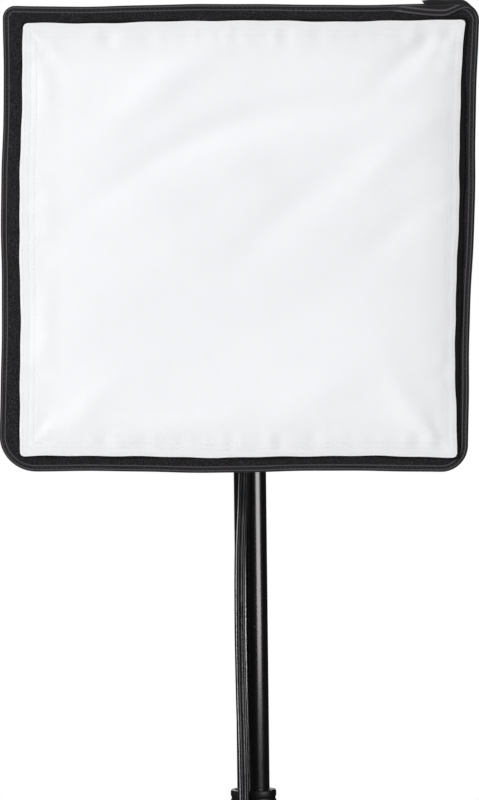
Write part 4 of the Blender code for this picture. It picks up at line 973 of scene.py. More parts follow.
def build_hook_tape():
    """Hook tape behind the diffuser's edge: a thin crowned band."""
    half = (DIFFUSER_X + 0.0011, DIFFUSER_Z + 0.0011)
    y0 = FRONT_Y
    u = np.linspace(0, 1, 7)
    face = np.stack([u * 0.0100, y0 - 0.0014 - 0.0002 * np.sin(math.pi * u)], 1)
    back = np.stack([u[::-1] * 0.0100, np.full(7, y0 - 0.0005)], 1)
    *shell, uv = banded(np.concatenate([face, back]), DIFFUSER_PULL, half,
                        (0.003,) * 4, 0.0, 0.00040)
    add("diffuser_hook_band", shell, "hook", 60, body_of("diffuser_hook_tape"),
        "loop_tape", "diffuser_hook_tape", uv=uv)


# each crease: x and z of its middle, direction in degrees, half length, half width,
# height
CREASES = np.array([
    [-0.052, 0.098, 38, 0.060, 0.0110, 0.0020],
    [-0.014, 0.070, 20, 0.115, 0.0085, -0.0021],
    [0.018, 0.058, 18, 0.100, 0.0130, 0.0017],
    [0.110, 0.119, 36, 0.040, 0.0080, -0.0024],
    [0.034, 0.021, 38, 0.055, 0.0110, -0.0017],
    [0.095, 0.055, 40, 0.045, 0.0110, 0.0018],
    [0.098, 0.008, 42, 0.035, 0.0090, -0.0014],
    [-0.130, 0.098, 95, 0.024, 0.0090, 0.0022],
    [-0.129, -0.055, 84, 0.026, 0.0090, 0.0022],
    [-0.126, 0.020, 100, 0.024, 0.0090, 0.0010],
    [-0.060, -0.020, 30, 0.090, 0.0180, 0.0012],
    [0.010, -0.060, 24, 0.110, 0.0200, -0.0010],
    [0.055, -0.095, 34, 0.060, 0.0130, 0.0013],
    [0.112, -0.112, 125, 0.040, 0.0100, 0.0020],
    [-0.030, -0.116, 12, 0.060, 0.0080, 0.0012],
    [-0.100, -0.112, 50, 0.040, 0.0080, 0.0012],
])


def diffuser_surface(x, z):
    """Height of the white front over its frame at x, z: a slight crown, long creases (a
    Gaussian across, faded along), small puckers along the hems and gathers at the
    corners."""
    crown = 0.0030 * (1 - np.abs(x / DIFFUSER_X).clip(0, 1) ** 5) * (
        1 - np.abs(z / DIFFUSER_Z).clip(0, 1) ** 5)
    c = CREASES
    angle = np.radians(c[:, 2])
    dx, dz = x[..., None] - c[:, 0], z[..., None] - c[:, 1]
    along = dx * np.cos(angle) + dz * np.sin(angle)
    across = dz * np.cos(angle) - dx * np.sin(angle) + 0.10 * along ** 2 / 0.05
    crease = (0.55 * c[:, 5] * np.exp(-(across / c[:, 4]) ** 2)
              * np.exp(-(along / c[:, 3]) ** 2 * 1.6)).sum(-1)
    from_x, from_z = DIFFUSER_X - np.abs(x), DIFFUSER_Z - np.abs(z)
    edge = np.minimum(from_x, from_z)
    run = np.where(from_x < from_z, z, x)
    pucker = 0.00013 * (np.sin(run * 330.0 + 2 * np.sin(run * 47.0)) * (
        1 + np.sin(run * 61.0)) + 0.7 * np.sin(run * 531.0 + 1.3 + 3 * np.sin(run * 29.0))
        ) * np.exp(-((edge - 0.010) / 0.006) ** 2)
    hem = -0.00012 * np.exp(-((edge - 0.0052) / 0.0011) ** 2) \
        - 0.00008 * np.exp(-((edge - 0.0086) / 0.0009) ** 2)
    corner = np.hypot(from_x, from_z)
    spin = np.arctan2(from_z, np.maximum(from_x, 1e-6))
    gather = 0.0004 * np.sin(spin * 11.0) * np.exp(-((corner - 0.020) / 0.014) ** 2)
    inside = smoothstep(edge, 0.004, 0.020)
    return crown + (crease + gather) * inside + (pucker + hem) * smoothstep(
        edge, 0.0, 0.003)


def diffuser_point(u, v):
    """A point of the white front: u and v run from -1 to 1 over a square whose corners
    are rounded by drawing the rim in, and whose edges are a little wavy."""
    x, z = u * DIFFUSER_X, v * DIFFUSER_Z
    edge_u = smoothstep(np.abs(u), 0.9, 1.0)
    edge_v = smoothstep(np.abs(v), 0.9, 1.0)
    x2 = x - np.sign(u) * edge_u * smoothstep(np.abs(v), 0.984, 1.0) * 0.0007
    z2 = z - np.sign(v) * edge_v * smoothstep(np.abs(u), 0.984, 1.0) * 0.0007
    x2 = x2 + edge_u * 0.00016 * (np.sin(z * 97.0) + 0.8 * np.sin(z * 231.0 + 1.0))
    z2 = z2 + edge_v * 0.00018 * (np.sin(x * 88.0) + 0.9 * np.sin(x * 207.0 + 2.0))
    x2 = x2 - (0.0016 + 0.0005 * u) * (1 - np.abs(v) ** 3) * edge_u
    y = DIFFUSER_Y + 0.0006 - diffuser_surface(x, z)
    px, pz = pulled(x2, z2, DIFFUSER_PULL)
    return np.stack([px, y, pz + LAMP_Z], -1)


def build_diffuser():
    """The white front sheet on a grid that is finer towards the hems, with its wall
    thickness, and the hems' rows of stitches."""
    n = 171
    t = np.linspace(-1, 1, n)
    fine = np.sign(t) * (1 - (1 - np.abs(t)) ** 1.35)
    u, v = np.meshgrid(fine, fine)
    front = diffuser_point(u, v)
    back = front + np.array([0, 0.00045, 0])
    rim = np.concatenate([np.arange(n), np.arange(1, n) * n + n - 1,
                          (n - 1) * n + np.arange(n - 2, -1, -1),
                          np.arange(n - 2, 0, -1) * n])
    faces = grid_faces(n, n)
    side = np.stack([rim, rim + n * n, np.roll(rim, -1) + n * n, np.roll(rim, -1)], 1)
    faces = np.concatenate([faces, faces[:, ::-1] + n * n, side])
    points = np.concatenate([front.reshape(-1, 3), back.reshape(-1, 3)])
    flat = np.stack([u * DIFFUSER_X, v * DIFFUSER_Z], -1).reshape(-1, 2)
    body = body_of("front_diffuser")
    sheet = add("diffuser_cloth", (points, faces), "diffuser", 60, body, "white_nylon",
                "front_diffuser", uv=np.concatenate([flat, flat]))
    rows = []
    for inset in (0.0018, 0.0052, 0.0086):
        a, b = 1 - inset / DIFFUSER_X, 1 - inset / DIFFUSER_Z
        s = np.linspace(-1, 1, 240)
        for axis, sign in ((0, 1), (0, -1), (1, 1), (1, -1)):
            u = s * a if axis == 0 else np.full_like(s, sign * a)
            v = np.full_like(s, sign * b) if axis == 0 else s * b
            line = diffuser_point(u, v)
            rows.append(stitches(line, np.broadcast_to(FORWARD, line.shape),
                                 0.0023, 0.0009, 0.00016))
    thread = add_stitches("diffuser_stitches", rows, "white_thread", body, "white_nylon")


def shell_ring(t, inset=0.0):
    """The shell's outline at depth t, 0 at the front and 1 at the back opening: a square
    that closes to a circle, bowed out over the ribs at its corners and drawn in between
    them, with folds that fan out from the back opening."""
    bow = 0.0060 * math.sin(math.pi * t)
    half_x = SHELL_X * (1 - t) + BACK_R * t + bow - inset
    half_z = SHELL_Z * (1 - t) + BACK_R * t + bow - inset
    corner = 0.0120 * (1 - t) + BACK_R * 0.97 * t ** 2.2 - inset * 0.7
    line, out = square_ring(half_x, half_z, [corner] * 4)
    n = len(line)
    s = (np.arange(n) - (CORNER_POINTS - 1) / 2) / (n / 4)
    mid = np.sin(math.pi * s) ** 2
    sag = -0.0075 * math.sin(math.pi * min(t * 1.12, 1.0)) ** 1.2 * mid
    angle = np.arctan2(line[:, 1], line[:, 0])
    folds = 0.0007 * np.sin(angle * 44.0) * float(smoothstep(t, 0.80, 0.99)) \
        + 0.0009 * np.sin(s * math.pi * 10.0 + 3.0 * t) * mid * math.sin(
            math.pi * t) ** 2 * (1 - 0.4 * np.cos(s * math.pi * 2))
    tension = 0.0008 * np.sin(angle * 16.0 + t * 5.0) * (1 - mid) * t * (1 - t) * 4
    line = line + out * (sag + folds + tension)[:, None]
    x, z = pulled(line[:, 0], line[:, 1], FRONT_PULL, (1 - t) ** 1.5)
    return np.stack([x, z], 1), out


def shell_depth(t):
    return SHELL_FRONT_Y + 0.0012 + (SHELL_BACK_Y - SHELL_FRONT_Y - 0.0012) * t


def build_shell():
    """The four-sided shell as one sheet: rows run from the back opening to the front,
    turn in over the lip behind the loop tape; given its wall and silver lining by
    Solidify."""
    shares = np.linspace(1, 0, 46) ** 1.1
    rows = [lifted(shell_ring(float(t))[0], shell_depth(float(t))) for t in shares]
    for inset, y in ((0.0004, -0.0006), (0.0018, -0.0010), (0.006, -0.0010),
                     (0.012, -0.0010), (LIP_WIDTH, -0.0010)):
        ring = front_ring(HALF_X - SHELL_X + inset)[0]
        rows.append(lifted(ring, SHELL_FRONT_Y + 0.0012 + y))
    n = len(rows[0])
    points = np.concatenate(rows)
    faces = grid_faces(len(rows), n, False, True)
    first = points[faces[0]]
    way = np.cross(first[1] - first[0], first[3] - first[0])
    if way @ (first[0] - np.array([0, first[0][1], LAMP_Z])) < 0:
        faces = faces[:, ::-1]
    gone = run_along(rows[20])
    down = np.arange(len(rows)) * 0.0042
    uv = np.stack([np.tile(gone, len(rows)), np.repeat(down, n)], 1)
    shell = make_mesh("shell_cloth", points, faces, [M["shell"], M["silver"]], 60, uv,
                      closed=False)
    wall = shell.modifiers.new("Lining", "SOLIDIFY")
    wall.thickness = 0.0009
    wall.offset = -1.0
    wall.material_offset = 1
    put(shell, body_of("fabric_shell"), "black_nylon", "fabric_shell")
    seams = build_shell_seams()


def build_shell_seams():
    """Felled seams over the four ribs, a flat strip with a raised middle and a row of
    stitches at each side, and the elastic hem round the back opening."""
    strips, rows = [], []
    shares = np.linspace(0.985, 0.012, 60)
    n_side = SIDE_POINTS + CORNER_POINTS
    rings = [shell_ring(float(t)) for t in shares]
    for k in range(4):
        at = k * n_side + CORNER_POINTS // 2
        line = np.stack([lifted(r[at:at + 1], shell_depth(float(t)))[0]
                         for (r, _), t in zip(rings, shares)])
        out = np.stack([[o[at, 0], 0.0, o[at, 1]] for _, o in rings])
        wide = np.cross(np.gradient(line, axis=0), out)
        profile = [(-0.0052, -0.0004), (-0.0050, 0.0003), (-0.0026, 0.0006),
                   (0.0, 0.0011), (0.0026, 0.0006), (0.0050, 0.0003), (0.0052, -0.0004)]
        points, faces = swept(line, profile, wide)
        middle = line.mean(0) + out.mean(0) * 0.02
        if np.linalg.norm(points.reshape(60, 7, 3)[30, 3] - middle) > np.linalg.norm(
                line[30] - middle):
            points, faces = swept(line, [(a, -b) for a, b in profile], wide)
        strips.append((points, faces))
        side = unit(wide)
        for sign in (-1, 1):
            rows.append(stitches(line + side * 0.0038 * sign + out * 0.0004, out,
                                 0.0025, 0.0010, 0.00024))
    body = body_of("fabric_shell")
    strip = add("shell_corner_seams", stacked(strips), "piping", 50, body, "black_nylon")
    cloth_map(strip, (1, 2))
    thread = add_stitches("shell_seam_stitches", rows, "thread", body, "black_nylon",
                          (1, 2))
    angle, turn = circle(288), circle(14)
    ruffle = 1 + 0.16 * np.sin(angle * 44) + 0.06 * np.sin(angle * 13 + 1)
    small = 0.0034 * ruffle[:, None] * np.ones(14)
    big = BACK_R - 0.0004 + small * np.cos(turn)
    hem = np.stack([big * np.cos(angle)[:, None],
                    SHELL_BACK_Y - 0.0020 + 1.5 * small * np.sin(turn),
                    LAMP_Z + big * np.sin(angle)[:, None]], -1)
    uv = np.stack(np.broadcast_arrays(angle[:, None] * BACK_R, turn * 0.004), -1)
    elastic = add("shell_elastic_hem", (hem, grid_faces(288, 14, True, True)), "shell",
                  60, body, "black_nylon", uv=uv)
    return [strip, thread, elastic]


# ---------------------------------------------------------------- cord
CORD_WIDE = 0.0074
CORD_THICK = 0.0038
CORD_SPLIT_Z = 0.5000
CORD_STEP = 0.0020
COIL_AT = (-0.1250, -0.0800)       # from the stand's axis
COIL_R = 0.0395
CORD_DROP = [                      # x, y from the stand's axis, and z
    (-0.0035, -0.0300, 0.8475), (-0.0034, -0.0285, 0.8150), (-0.0034, -0.0240, 0.7700),
    (-0.0048, -0.0205, 0.7300), (-0.0067, -0.0195, 0.6900), (-0.0072, -0.0195, 0.6400),
    (-0.0068, -0.0200, 0.5950), (-0.0061, -0.0215, 0.5550), (-0.0062, -0.0230, 0.5100),
    (-0.0100, -0.0260, 0.4600), (-0.0200, -0.0310, 0.4100), (-0.0310, -0.0350, 0.3500),
    (-0.0375, -0.0370, 0.2600), (-0.0420, -0.0400, 0.1600), (-0.0480, -0.0450, 0.0800),
    (-0.0550, -0.0530, 0.0350), (-0.0650, -0.0660, 0.0130), (-0.0740, -0.0810, 0.0055)]
COIL_TURNS = 6.0
COIL_PITCH = 0.0041                # from one turn to the next
PLUG_TAIL_END = 0.0300             # from the coil's middle into the sleeve, along -X
PLUG_Z = 0.0069                    # height of the plug's middle


def coil_route():
    """The coil from above, clockwise: two layers of a flat spiral, out to in and then in
    to out, then off along a tangent to the plug. Angle falls evenly; radius and height
    follow it."""
    start, end = math.radians(-16.0), math.radians(-90.0) - 2 * math.pi * COIL_TURNS
    angle = np.linspace(start, end, int(COIL_TURNS * 40))
    pitch = COIL_PITCH
    half_turns = COIL_TURNS / 2 + 0.1
    gone = (start - angle) / (2 * math.pi)
    radius = np.where(gone < half_turns, COIL_R + 0.0050 - pitch * gone,
                      COIL_R + 0.0050 - pitch * half_turns
                      + pitch * (gone - half_turns))
    second = smoothstep(gone, half_turns - 0.35, half_turns + 0.15)
    height = CORD_WIDE / 2 + 0.0006 + 0.0076 * second
    off = smoothstep(gone, gone[-1] - 0.22, gone[-1])
    radius = radius + (COIL_R + 0.0075 + 0.0038 - radius) * off
    fall = smoothstep(gone, gone[-1] - 0.12, gone[-1] + 0.10)
    height = height - (height - PLUG_Z) * fall
    line = np.stack([COIL_AT[0] + radius * np.cos(angle),
                     COIL_AT[1] + radius * np.sin(angle), height], 1)
    tail_y = COIL_AT[1] - (0.0470 + 0.0003 + 0.0035)
    tail = np.array([[COIL_AT[0] - d, tail_y, PLUG_Z] for d in (0.016, PLUG_TAIL_END)])
    return line, tail


def cord_points():
    """The whole cord's centreline at equal steps."""
    coil, tail = coil_route()
    route = np.concatenate([np.array(CORD_DROP), coil[2::5], tail])
    line = smooth_route(route, CORD_STEP)
    line[:, 2] = np.maximum(line[:, 2], 0.0042)
    return line + np.array([0, STAND_Y, 0])


def flat_twin():
    """Section of a flat twin cord: two round lobes, 14 points each, joined at a
    groove."""
    r = CORD_THICK / 2
    a = np.radians(np.linspace(-128, 128, 14))
    right = np.stack([CORD_WIDE / 2 - r + r * np.cos(a), r * np.sin(a)], 1)
    return np.concatenate([right, -right])


def build_cord():
    """Flat twin cord in two lengths that meet half way down, its coil, tie and plug."""
    line = cord_points()
    at = np.arange(len(line))
    on_edge = smoothstep(at, first_low(line, 0.10), first_low(line, 0.012))
    wide = unit(np.array([1.0, 0.12, 0.0]) * (1 - on_edge[:, None])
                + np.array([0.0, 0.0, 1.0]) * on_edge[:, None])
    # near the plug the cord lies flat again
    back = smoothstep(at, len(line) - 34, len(line) - 8)[:, None]
    wide = unit(wide * (1 - back) + np.array([0.0, 1.0, 0.0]) * back)
    split = int(np.argmin(np.where(line[:, 2] >= CORD_SPLIT_Z, line[:, 2], 9)))
    upper, lower = line[:split + 1], line[split:]
    profile = flat_twin()
    top = make_mesh("cord_upper_run", *swept(upper, profile, wide[:split + 1]),
                    M["jacket"], 50)
    rest = make_mesh("cord_lower_run", *swept(lower, profile, wide[split:]),
                     M["jacket"], 50)
    relief = build_relief(line)
    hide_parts("power_cord_upper")
    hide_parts("power_cord_lower", "cord_coil")
    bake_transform(top)
    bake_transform(rest)
    plug = build_plug()
    tie = build_tie()


def first_low(line, z):
    """Index of the first point of a line below a height."""
    return int(np.argmax(line[:, 2] < z))


def build_relief(line):
    """Tapered sleeve of the gland: rings that shrink from the nut to the flat cord."""
    run = line[:7]
    s = np.linspace(0, 1, len(run))
    radius = 0.0058 - 0.0022 * s + 0.00035 * (np.sin(s * 34) > 0)
    angle = circle(24)
    profile = np.stack([np.cos(angle), np.sin(angle)], 1)
    path = np.concatenate([[run[0] + np.array([0, 0, 0.004])], run])
    size = np.concatenate([[0.0062], radius])
    return add("cord_strain_relief", swept(path, profile, (1.0, 0.0, 0.0), scale=size),
               "rubber", 50, "lamp_head", "rubber")


def build_tie():
    """A hook-and-loop strap round the coil's bundle: a flat band carried round the
    bundle's section, with a loose lapped end."""
    angle = math.radians(118.0)
    way = np.array([math.cos(angle), math.sin(angle), 0.0])
    middle = np.array([COIL_AT[0], COIL_AT[1] + STAND_Y, 0.0]) + way * (COIL_R - 0.0003)
    x, z = squared(circle(64), 0.45)
    x, z = 0.0082 * x, 0.0085 + 0.0083 * z
    path = middle + way * x[:, None] + np.array([0, 0, 1.0]) * z[:, None]
    wide = np.array([-way[1], way[0], 0.0])
    profile = rounded([(-0.0060, -0.0004), (0.0060, -0.0004), (0.0060, 0.0004),
                       (-0.0060, 0.0004)], 0.0003, 3)
    band = swept(path, profile, wide, True)
    s = np.linspace(0, 1, 20)[:, None]
    flap = (middle + way * (0.0080 - 0.002 * s) + np.array([0, 0, 0.0175])
            + way * (0.012 * s) + np.array([0, 0, -0.012]) * s ** 2.0)
    piece = add("cord_tie_strap", stacked([band, swept(flap, profile, wide)]), "tie", 50,
                "stand_base", "black_nylon")
    cloth_map(piece, (0, 1))
    return piece


def build_plug():
    """Flat two-blade plug: a rounded slab that narrows to a ribbed sleeve, a section of a
    superellipse carried along its axis."""
    x0 = COIL_AT[0] - 0.0280
    y0 = COIL_AT[1] - 0.0508 + STAND_Y
    z0 = PLUG_Z
    s = np.linspace(0, 1, 60)
    where = s * 0.042
    shoulder = smoothstep(where, 0.009, 0.017)
    ribs = 0.00045 * (np.sin(where * 2 * math.pi / 0.0026) > 0) * (where < 0.0105)
    wide = (0.0046 + ribs) * (1 - shoulder) + 0.0108 * shoulder
    wide = wide - 0.0012 * smoothstep(where, 0.018, 0.036) * np.sin(
        (where - 0.018) * 70).clip(0)
    thick = (0.0035 + ribs) * (1 - shoulder) + 0.0062 * shoulder
    end = np.sqrt(np.clip(1 - smoothstep(where, 0.0395, 0.0425) ** 2, 0.35, 1))
    angle = circle(40)
    across, up = squared(angle, 2 / (2.0 + 2.6 * shoulder[:, None]))
    points = np.stack([x0 - where[:, None] * np.ones_like(angle),
                       y0 + across * (wide * end)[:, None],
                       z0 + up * (thick * end)[:, None]], -1)
    return add("plug_moulding", (points, tube_faces(60, 40)), "plastic", 40,
               "stand_base", "black_plastic", "plug_body")


# ---------------------------------------------------------------- stand and head
def build_tubes():
    """The three telescoping tubes: turned walls with eased ends."""
    wall = 0.0012
    for name in ("top_tube", "middle_tube", "lower_tube"):
        a, b = low(name), high(name)
        centre = [(a[0] + b[0]) / 2, (a[1] + b[1]) / 2, 0.0]
        r = (b[0] - a[0]) / 2
        profile = rounded([(r - wall, a[2]), (r, a[2]), (r, b[2]), (r - wall, b[2])],
                          0.0006, 5)
        profile = np.roll(profile, -5, 0)
        add("painted_" + name, turned(profile, centre, "Z", 112), "paint", 30,
            body_of(name), "gloss_black_tube", name)


def boss(centre_z, start_y, end_y, radius):
    """A short round boss that stands out along +Y, eased at its face."""
    profile = rounded([(0.0, end_y), (radius, end_y), (radius * 1.12, start_y),
                       (0.0, start_y)], 0.0009, 5)
    profile = profile[profile[:, 0] > 1e-4]
    profile = profile[np.argsort(-profile[:, 1], kind="stable")]
    profile = np.concatenate([[[0.0, end_y]], profile, [[0.0, start_y]]])
    return turned(profile, (0, 0, centre_z), "Y", 56, closed=False)


def build_lock_collars():
    """The locking collars: a turned sleeve with an eased rim, a groove below it and a
    flared mouth, a boss for the screw, and two ribs down its sides."""
    for name, tube, knob in (("middle_lock_collar", "top_tube", "top_tube_lock_knob"),
                             ("lower_lock_collar", "middle_tube",
                              "middle_tube_lock_knob")):
        a, b = low(name), high(name)
        r = (b[0] - a[0]) / 2
        inner_tube = (high(tube)[0] - low(tube)[0]) / 2
        bore = inner_tube + 0.0006
        under = r - 0.0030
        z0, z1 = a[2], b[2]
        split = z1 - 0.026
        profile = [(bore, z1 - 0.0010), (bore + 0.0009, z1), (r - 0.0006, z1),
                   (r, z1 - 0.0012), (r, z1 - 0.0042), (r - 0.0006, z1 - 0.0050),
                   (r - 0.0006, z1 - 0.0062), (r, z1 - 0.0070), (r, z0 + 0.0040),
                   (r - 0.0008, z0 + 0.0030), (r - 0.0008, z0), (under + 0.0002, z0),
                   (under + 0.0002, split), (bore, split + 0.0004)]
        sleeve = turned(rounded(profile, 0.0007, 4), (0, STAND_Y, 0), "Z", 112)
        zc = (low(knob)[2] + high(knob)[2]) / 2
        stub = boss(zc, STAND_Y + r - 0.0025, b[1], 0.0078)
        ribs = []
        for x in (-1, 1):
            s = np.linspace(0, 1, 12)
            path = np.stack([np.full(12, x * (r - 0.0004)), np.full(12, STAND_Y),
                             z0 + 0.006 + s * (z1 - z0 - 0.016)], 1)
            section = rounded([(-0.0016, -0.0007), (0.0016, -0.0007), (0.0011, 0.0009),
                               (-0.0011, 0.0009)], 0.0004, 4)
            section = section * np.array([1, x])
            ribs.append(swept(path, section, (0, 1, 0), scale=0.55 + 0.45 * np.sin(
                math.pi * s) ** 0.35))
        add("moulded_" + name, stacked([sleeve, stub] + ribs), "plastic", 35,
            body_of(name), "black_plastic", name)


LOBE = 0.085                       # height of a knob's lobes as a share of its radius


def build_knobs():
    """Lobed knobs: at angle a the radius is R (1 + LOBE cos 6a), less towards the back,
    with a dished face, a cap, and the screw's shank behind."""
    for name in ("top_tube_lock_knob", "middle_tube_lock_knob", "leg_collar_lock_knob",
                 "spigot_clamp_knob"):
        a, b = low(name), high(name)
        z = (a[2] + b[2]) / 2
        y1, y0 = b[1], b[1] - 0.0120
        r = (b[0] - a[0]) / 2 / (1 + LOBE)
        profile = rounded([(0.0048, y0 - 0.0008), (0.0070, y0 + 0.0004),
                           (r * 0.80, y0 + 0.0020), (r, y0 + 0.0044), (r, y1 - 0.0016),
                           (r - 0.0014, y1 - 0.0002), (r * 0.72, y1 - 0.0002),
                           (r * 0.60, y1 - 0.0016), (r * 0.42, y1 - 0.0018),
                           (r * 0.38, y1 - 0.0004), (0.0006, y1)], 0.0009, 5, False)

        def lobes(angle, height, y0=y0):
            grow = smoothstep(height, y0 - 0.0002, y0 + 0.0052)
            return 1 + LOBE * np.cos(6 * angle) * grow
        points, faces = turned(profile, (0, 0, z), "Y", 144, False)
        shaped = turned(profile, (0, 0, z), "Y", 144, False, lobes)[0]
        rim = smoothstep(np.hypot(points[:, 0], points[:, 2] - z), r * 0.5, r * 0.8)
        points = points + (shaped - points) * rim[:, None]
        add("grip_" + name, (points, faces), "grip", 32, body_of(name), "black_plastic",
            name)
        if y0 - a[1] > 0.001:
            length = y0 - a[1] + 0.001
            s = np.linspace(0, 1, 60)
            turns = s * length / 0.001
            thread = 0.0030 - 0.00035 * np.abs(np.sin(turns * math.pi)) ** 0.7
            shank = np.stack([thread, a[1] + s * length], 1)
            add("screw_" + name, turned(shank, (0, 0, z), "Y", 28, False), "steel", 60,
                body_of(name), "steel")


LEG_TURNS = {"front": -90.0, "right": 30.0, "left": 150.0}
PIN_OUT, PIN_Z = 0.0300, 0.2550        # leg pins: from the stand's axis, and height
FOOT_OUT, FOOT_Z = 0.3000, 0.0080


def leg_frame(side):
    """Pin, foot end, and directions along and across a leg."""
    angle = math.radians(LEG_TURNS[side])
    out = np.array([math.cos(angle), math.sin(angle), 0.0])
    pin = np.array([0, STAND_Y, PIN_Z]) + out * PIN_OUT
    end = np.array([0, STAND_Y, FOOT_Z]) + out * FOOT_OUT
    down = unit(end - pin)
    across = np.cross(np.array([0, 0, 1.0]), out)
    return pin, end, down, across


def build_legs():
    """Legs: a tube whose section goes from a flattened, rounded lug at the pin to a
    round, by moving a superellipse's half widths along it; and rubber feet turned about
    the leg's line and cut flat at the floor."""
    for side in LEG_TURNS:
        pin, end, down, across = leg_frame(side)
        up = np.cross(down, across)
        length = float((end - pin) @ down)
        s = np.concatenate([-0.0080 + 0.0080 * (1 - np.cos(np.linspace(
            0, math.pi / 2, 14))), np.linspace(0.001, 0.040, 26),
            np.linspace(0.045, length, 40)])
        round_share = smoothstep(s, 0.012, 0.034)
        lug = np.where(s < 0, np.sqrt(np.maximum(0.0080 ** 2 - s ** 2, 0)), 0.0080)
        half_up = np.maximum(lug, 0.0004) * (1 + 0.06 * np.sin(round_share * math.pi))
        half_side = 0.0040 + 0.0040 * round_share
        half_side = np.where(s < 0, 0.0040 * np.minimum(1, (lug / 0.0080) ** 0.18),
                             half_side)
        ca, sa = squared(circle(64), 2 / (2 + 5 * (1 - round_share[:, None])))
        line = pin + down * s[:, None]
        points = (line[:, None] + across * (ca * half_side[:, None])[..., None]
                  + up * (sa * half_up[:, None])[..., None])
        add("painted_leg_" + side, (points, tube_faces(len(s), 64)), "paint", 40,
            body_of("leg_" + side), "gloss_black_tube", "leg_" + side)
        build_foot(side, end, down)


def build_foot(side, end, down):
    """Rubber foot: sleeve with a rolled lip, three rings and a round end, flattened where
    it meets the floor by holding every point's height at or above it."""
    r = 0.0105
    t = np.linspace(0, math.pi / 2, 14)
    profile = [(0.0083, -0.0200), (0.0094, -0.0212), (0.0104, -0.0205), (0.0107, -0.0190),
               (0.0103, -0.0176), (0.0102, -0.0140), (0.0098, -0.0132),
               (0.0102, -0.0124), (0.0102, -0.0096), (0.0098, -0.0088), (0.0103, -0.0080),
               (0.0104, -0.0010)]
    ball = [(float(r * np.cos(a)), float(r * np.sin(a) * 0.92)) for a in t[:-1]]
    profile = rounded(profile + ball + [(0.0003, r * 0.92)], 0.0004, 4, False)
    u = unit(np.cross(down, np.array([0.0, 0.0, 1.0])))
    points, faces = turned(profile, end, (u, np.cross(down, u), down), 80, False)
    points[:, 2] = np.maximum(points[:, 2], 0.0)
    add("rubber_foot_" + side, (points, faces), "rubber", 40, body_of("foot_" + side),
        "rubber", "foot_" + side)


def refined(name, material, slot, width):
    """A finished copy of a CAD node: its triangles merged, flat faces made whole, its
    edges eased by a bevel of a width."""
    mesh = NODES[name].data.copy()
    work = bmesh.new()
    work.from_mesh(mesh)
    bmesh.ops.remove_doubles(work, verts=work.verts, dist=2e-5)
    bmesh.ops.dissolve_limit(work, angle_limit=math.radians(1.0), verts=work.verts,
                             edges=work.edges)
    work.to_mesh(mesh)
    work.free()
    if mesh.has_custom_normals:
        mesh.attributes.remove(mesh.attributes["custom_normal"])
    mesh.shade_smooth()
    mesh.set_sharp_from_angle(angle=math.radians(32))
    mesh.materials.clear()
    mesh.materials.append(M[material])
    piece = bpy.data.objects.new("finished_" + name, mesh)
    bpy.context.scene.collection.objects.link(piece)
    ease = piece.modifiers.new("Eased edges", "BEVEL")
    ease.width = width
    ease.segments = 2
    ease.limit_method = "ANGLE"
    ease.angle_limit = math.radians(32)
    ease.harden_normals = False
    put(piece, body_of(name), slot, name)


def build_fittings():
    """Leg collar, brace hub, braces and the bracket's small parts, with eased edges."""
    for name in ("leg_collar", "brace_hub", "stand_adapter", "head_knuckle", "tilt_lever",
                 "switch_bezel", "power_rocker"):
        refined(name, "plastic", "black_plastic", 0.0006)
    for name in ("brace_front", "brace_left", "brace_right"):
        refined(name, "paint", "gloss_black_tube", 0.0004)


def build_head():
    """Lamp housing: a turned shell about the lamp's axis with a flange, cooling grooves
    and an eased back rim; its cover with shallow rings; the mounting ring; and the
    gland."""
    a, b = low("head_housing"), high("head_housing")
    y0, y1 = a[1], b[1]
    centre = (0.0, 0.0, LAMP_Z)
    r, flange = 0.0300, 0.0335
    profile = [(0.0210, y0), (flange, y0), (flange, y0 + 0.0070), (r, y0 + 0.0090)]
    for k in range(5):
        at = y0 + 0.030 + 0.0062 * k
        profile += [(r, at), (r - 0.0009, at + 0.0007), (r - 0.0009, at + 0.0021),
                    (r, at + 0.0028)]
    profile += [(r, y1 - 0.0015), (r - 0.0015, y1), (r - 0.0025, y1),
                (r - 0.0025, y0 + 0.0060), (0.0210, y0 + 0.0030)]
    add("housing_shell", turned(rounded(profile, 0.0006, 4), centre, "Y", 128), "plastic",
        30, "lamp_head", "black_plastic", "head_housing")
    a = low("rear_cover")
    face = a[1] + 0.0090
    cover = rounded([(0.0268, a[1]), (0.0270, face - 0.0032), (0.0290, face - 0.0028),
                     (0.0298, face - 0.0014), (0.0270, face), (0.0225, face),
                     (0.0220, face - 0.0006), (0.0212, face - 0.0006), (0.0207, face),
                     (0.0010, face)], 0.0008, 5, False)
    add("housing_cover", turned(cover, centre, "Y", 128, False), "plastic", 30,
        "lamp_head", "black_plastic", "rear_cover")
    screws = []
    for k in range(4):
        angle = math.pi / 4 + k * math.pi / 2
        at = (0.0245 * math.cos(angle), 0.0, LAMP_Z + 0.0245 * math.sin(angle))
        screws.append(turned(rounded([(0.0023, face - 0.001), (0.0023, face + 0.0004),
                                      (0.0016, face + 0.0010), (0.0008, face + 0.0011),
                                      (0.0006, face + 0.0004), (0.0003, face + 0.0004)],
                                     0.0002, 3, False), at, "Y", 32, False))
    add("cover_screws", stacked(screws), "steel", 35, "lamp_head", "steel")
    a, b = low("mounting_ring"), high("mounting_ring")
    ring = rounded([(0.0345, a[1]), (0.0470, a[1]), (0.0480, a[1] + 0.0010),
                    (0.0480, b[1] - 0.0010), (0.0470, b[1]), (0.0380, b[1]),
                    (0.0375, b[1] - 0.0012), (0.0345, b[1] - 0.0012)], 0.0006, 4)
    add("speed_ring", turned(ring, centre, "Y", 128), "plastic", 30, "lamp_head",
        "black_plastic", "mounting_ring")
    refined("cord_gland", "plastic", "black_plastic", 0.0004)


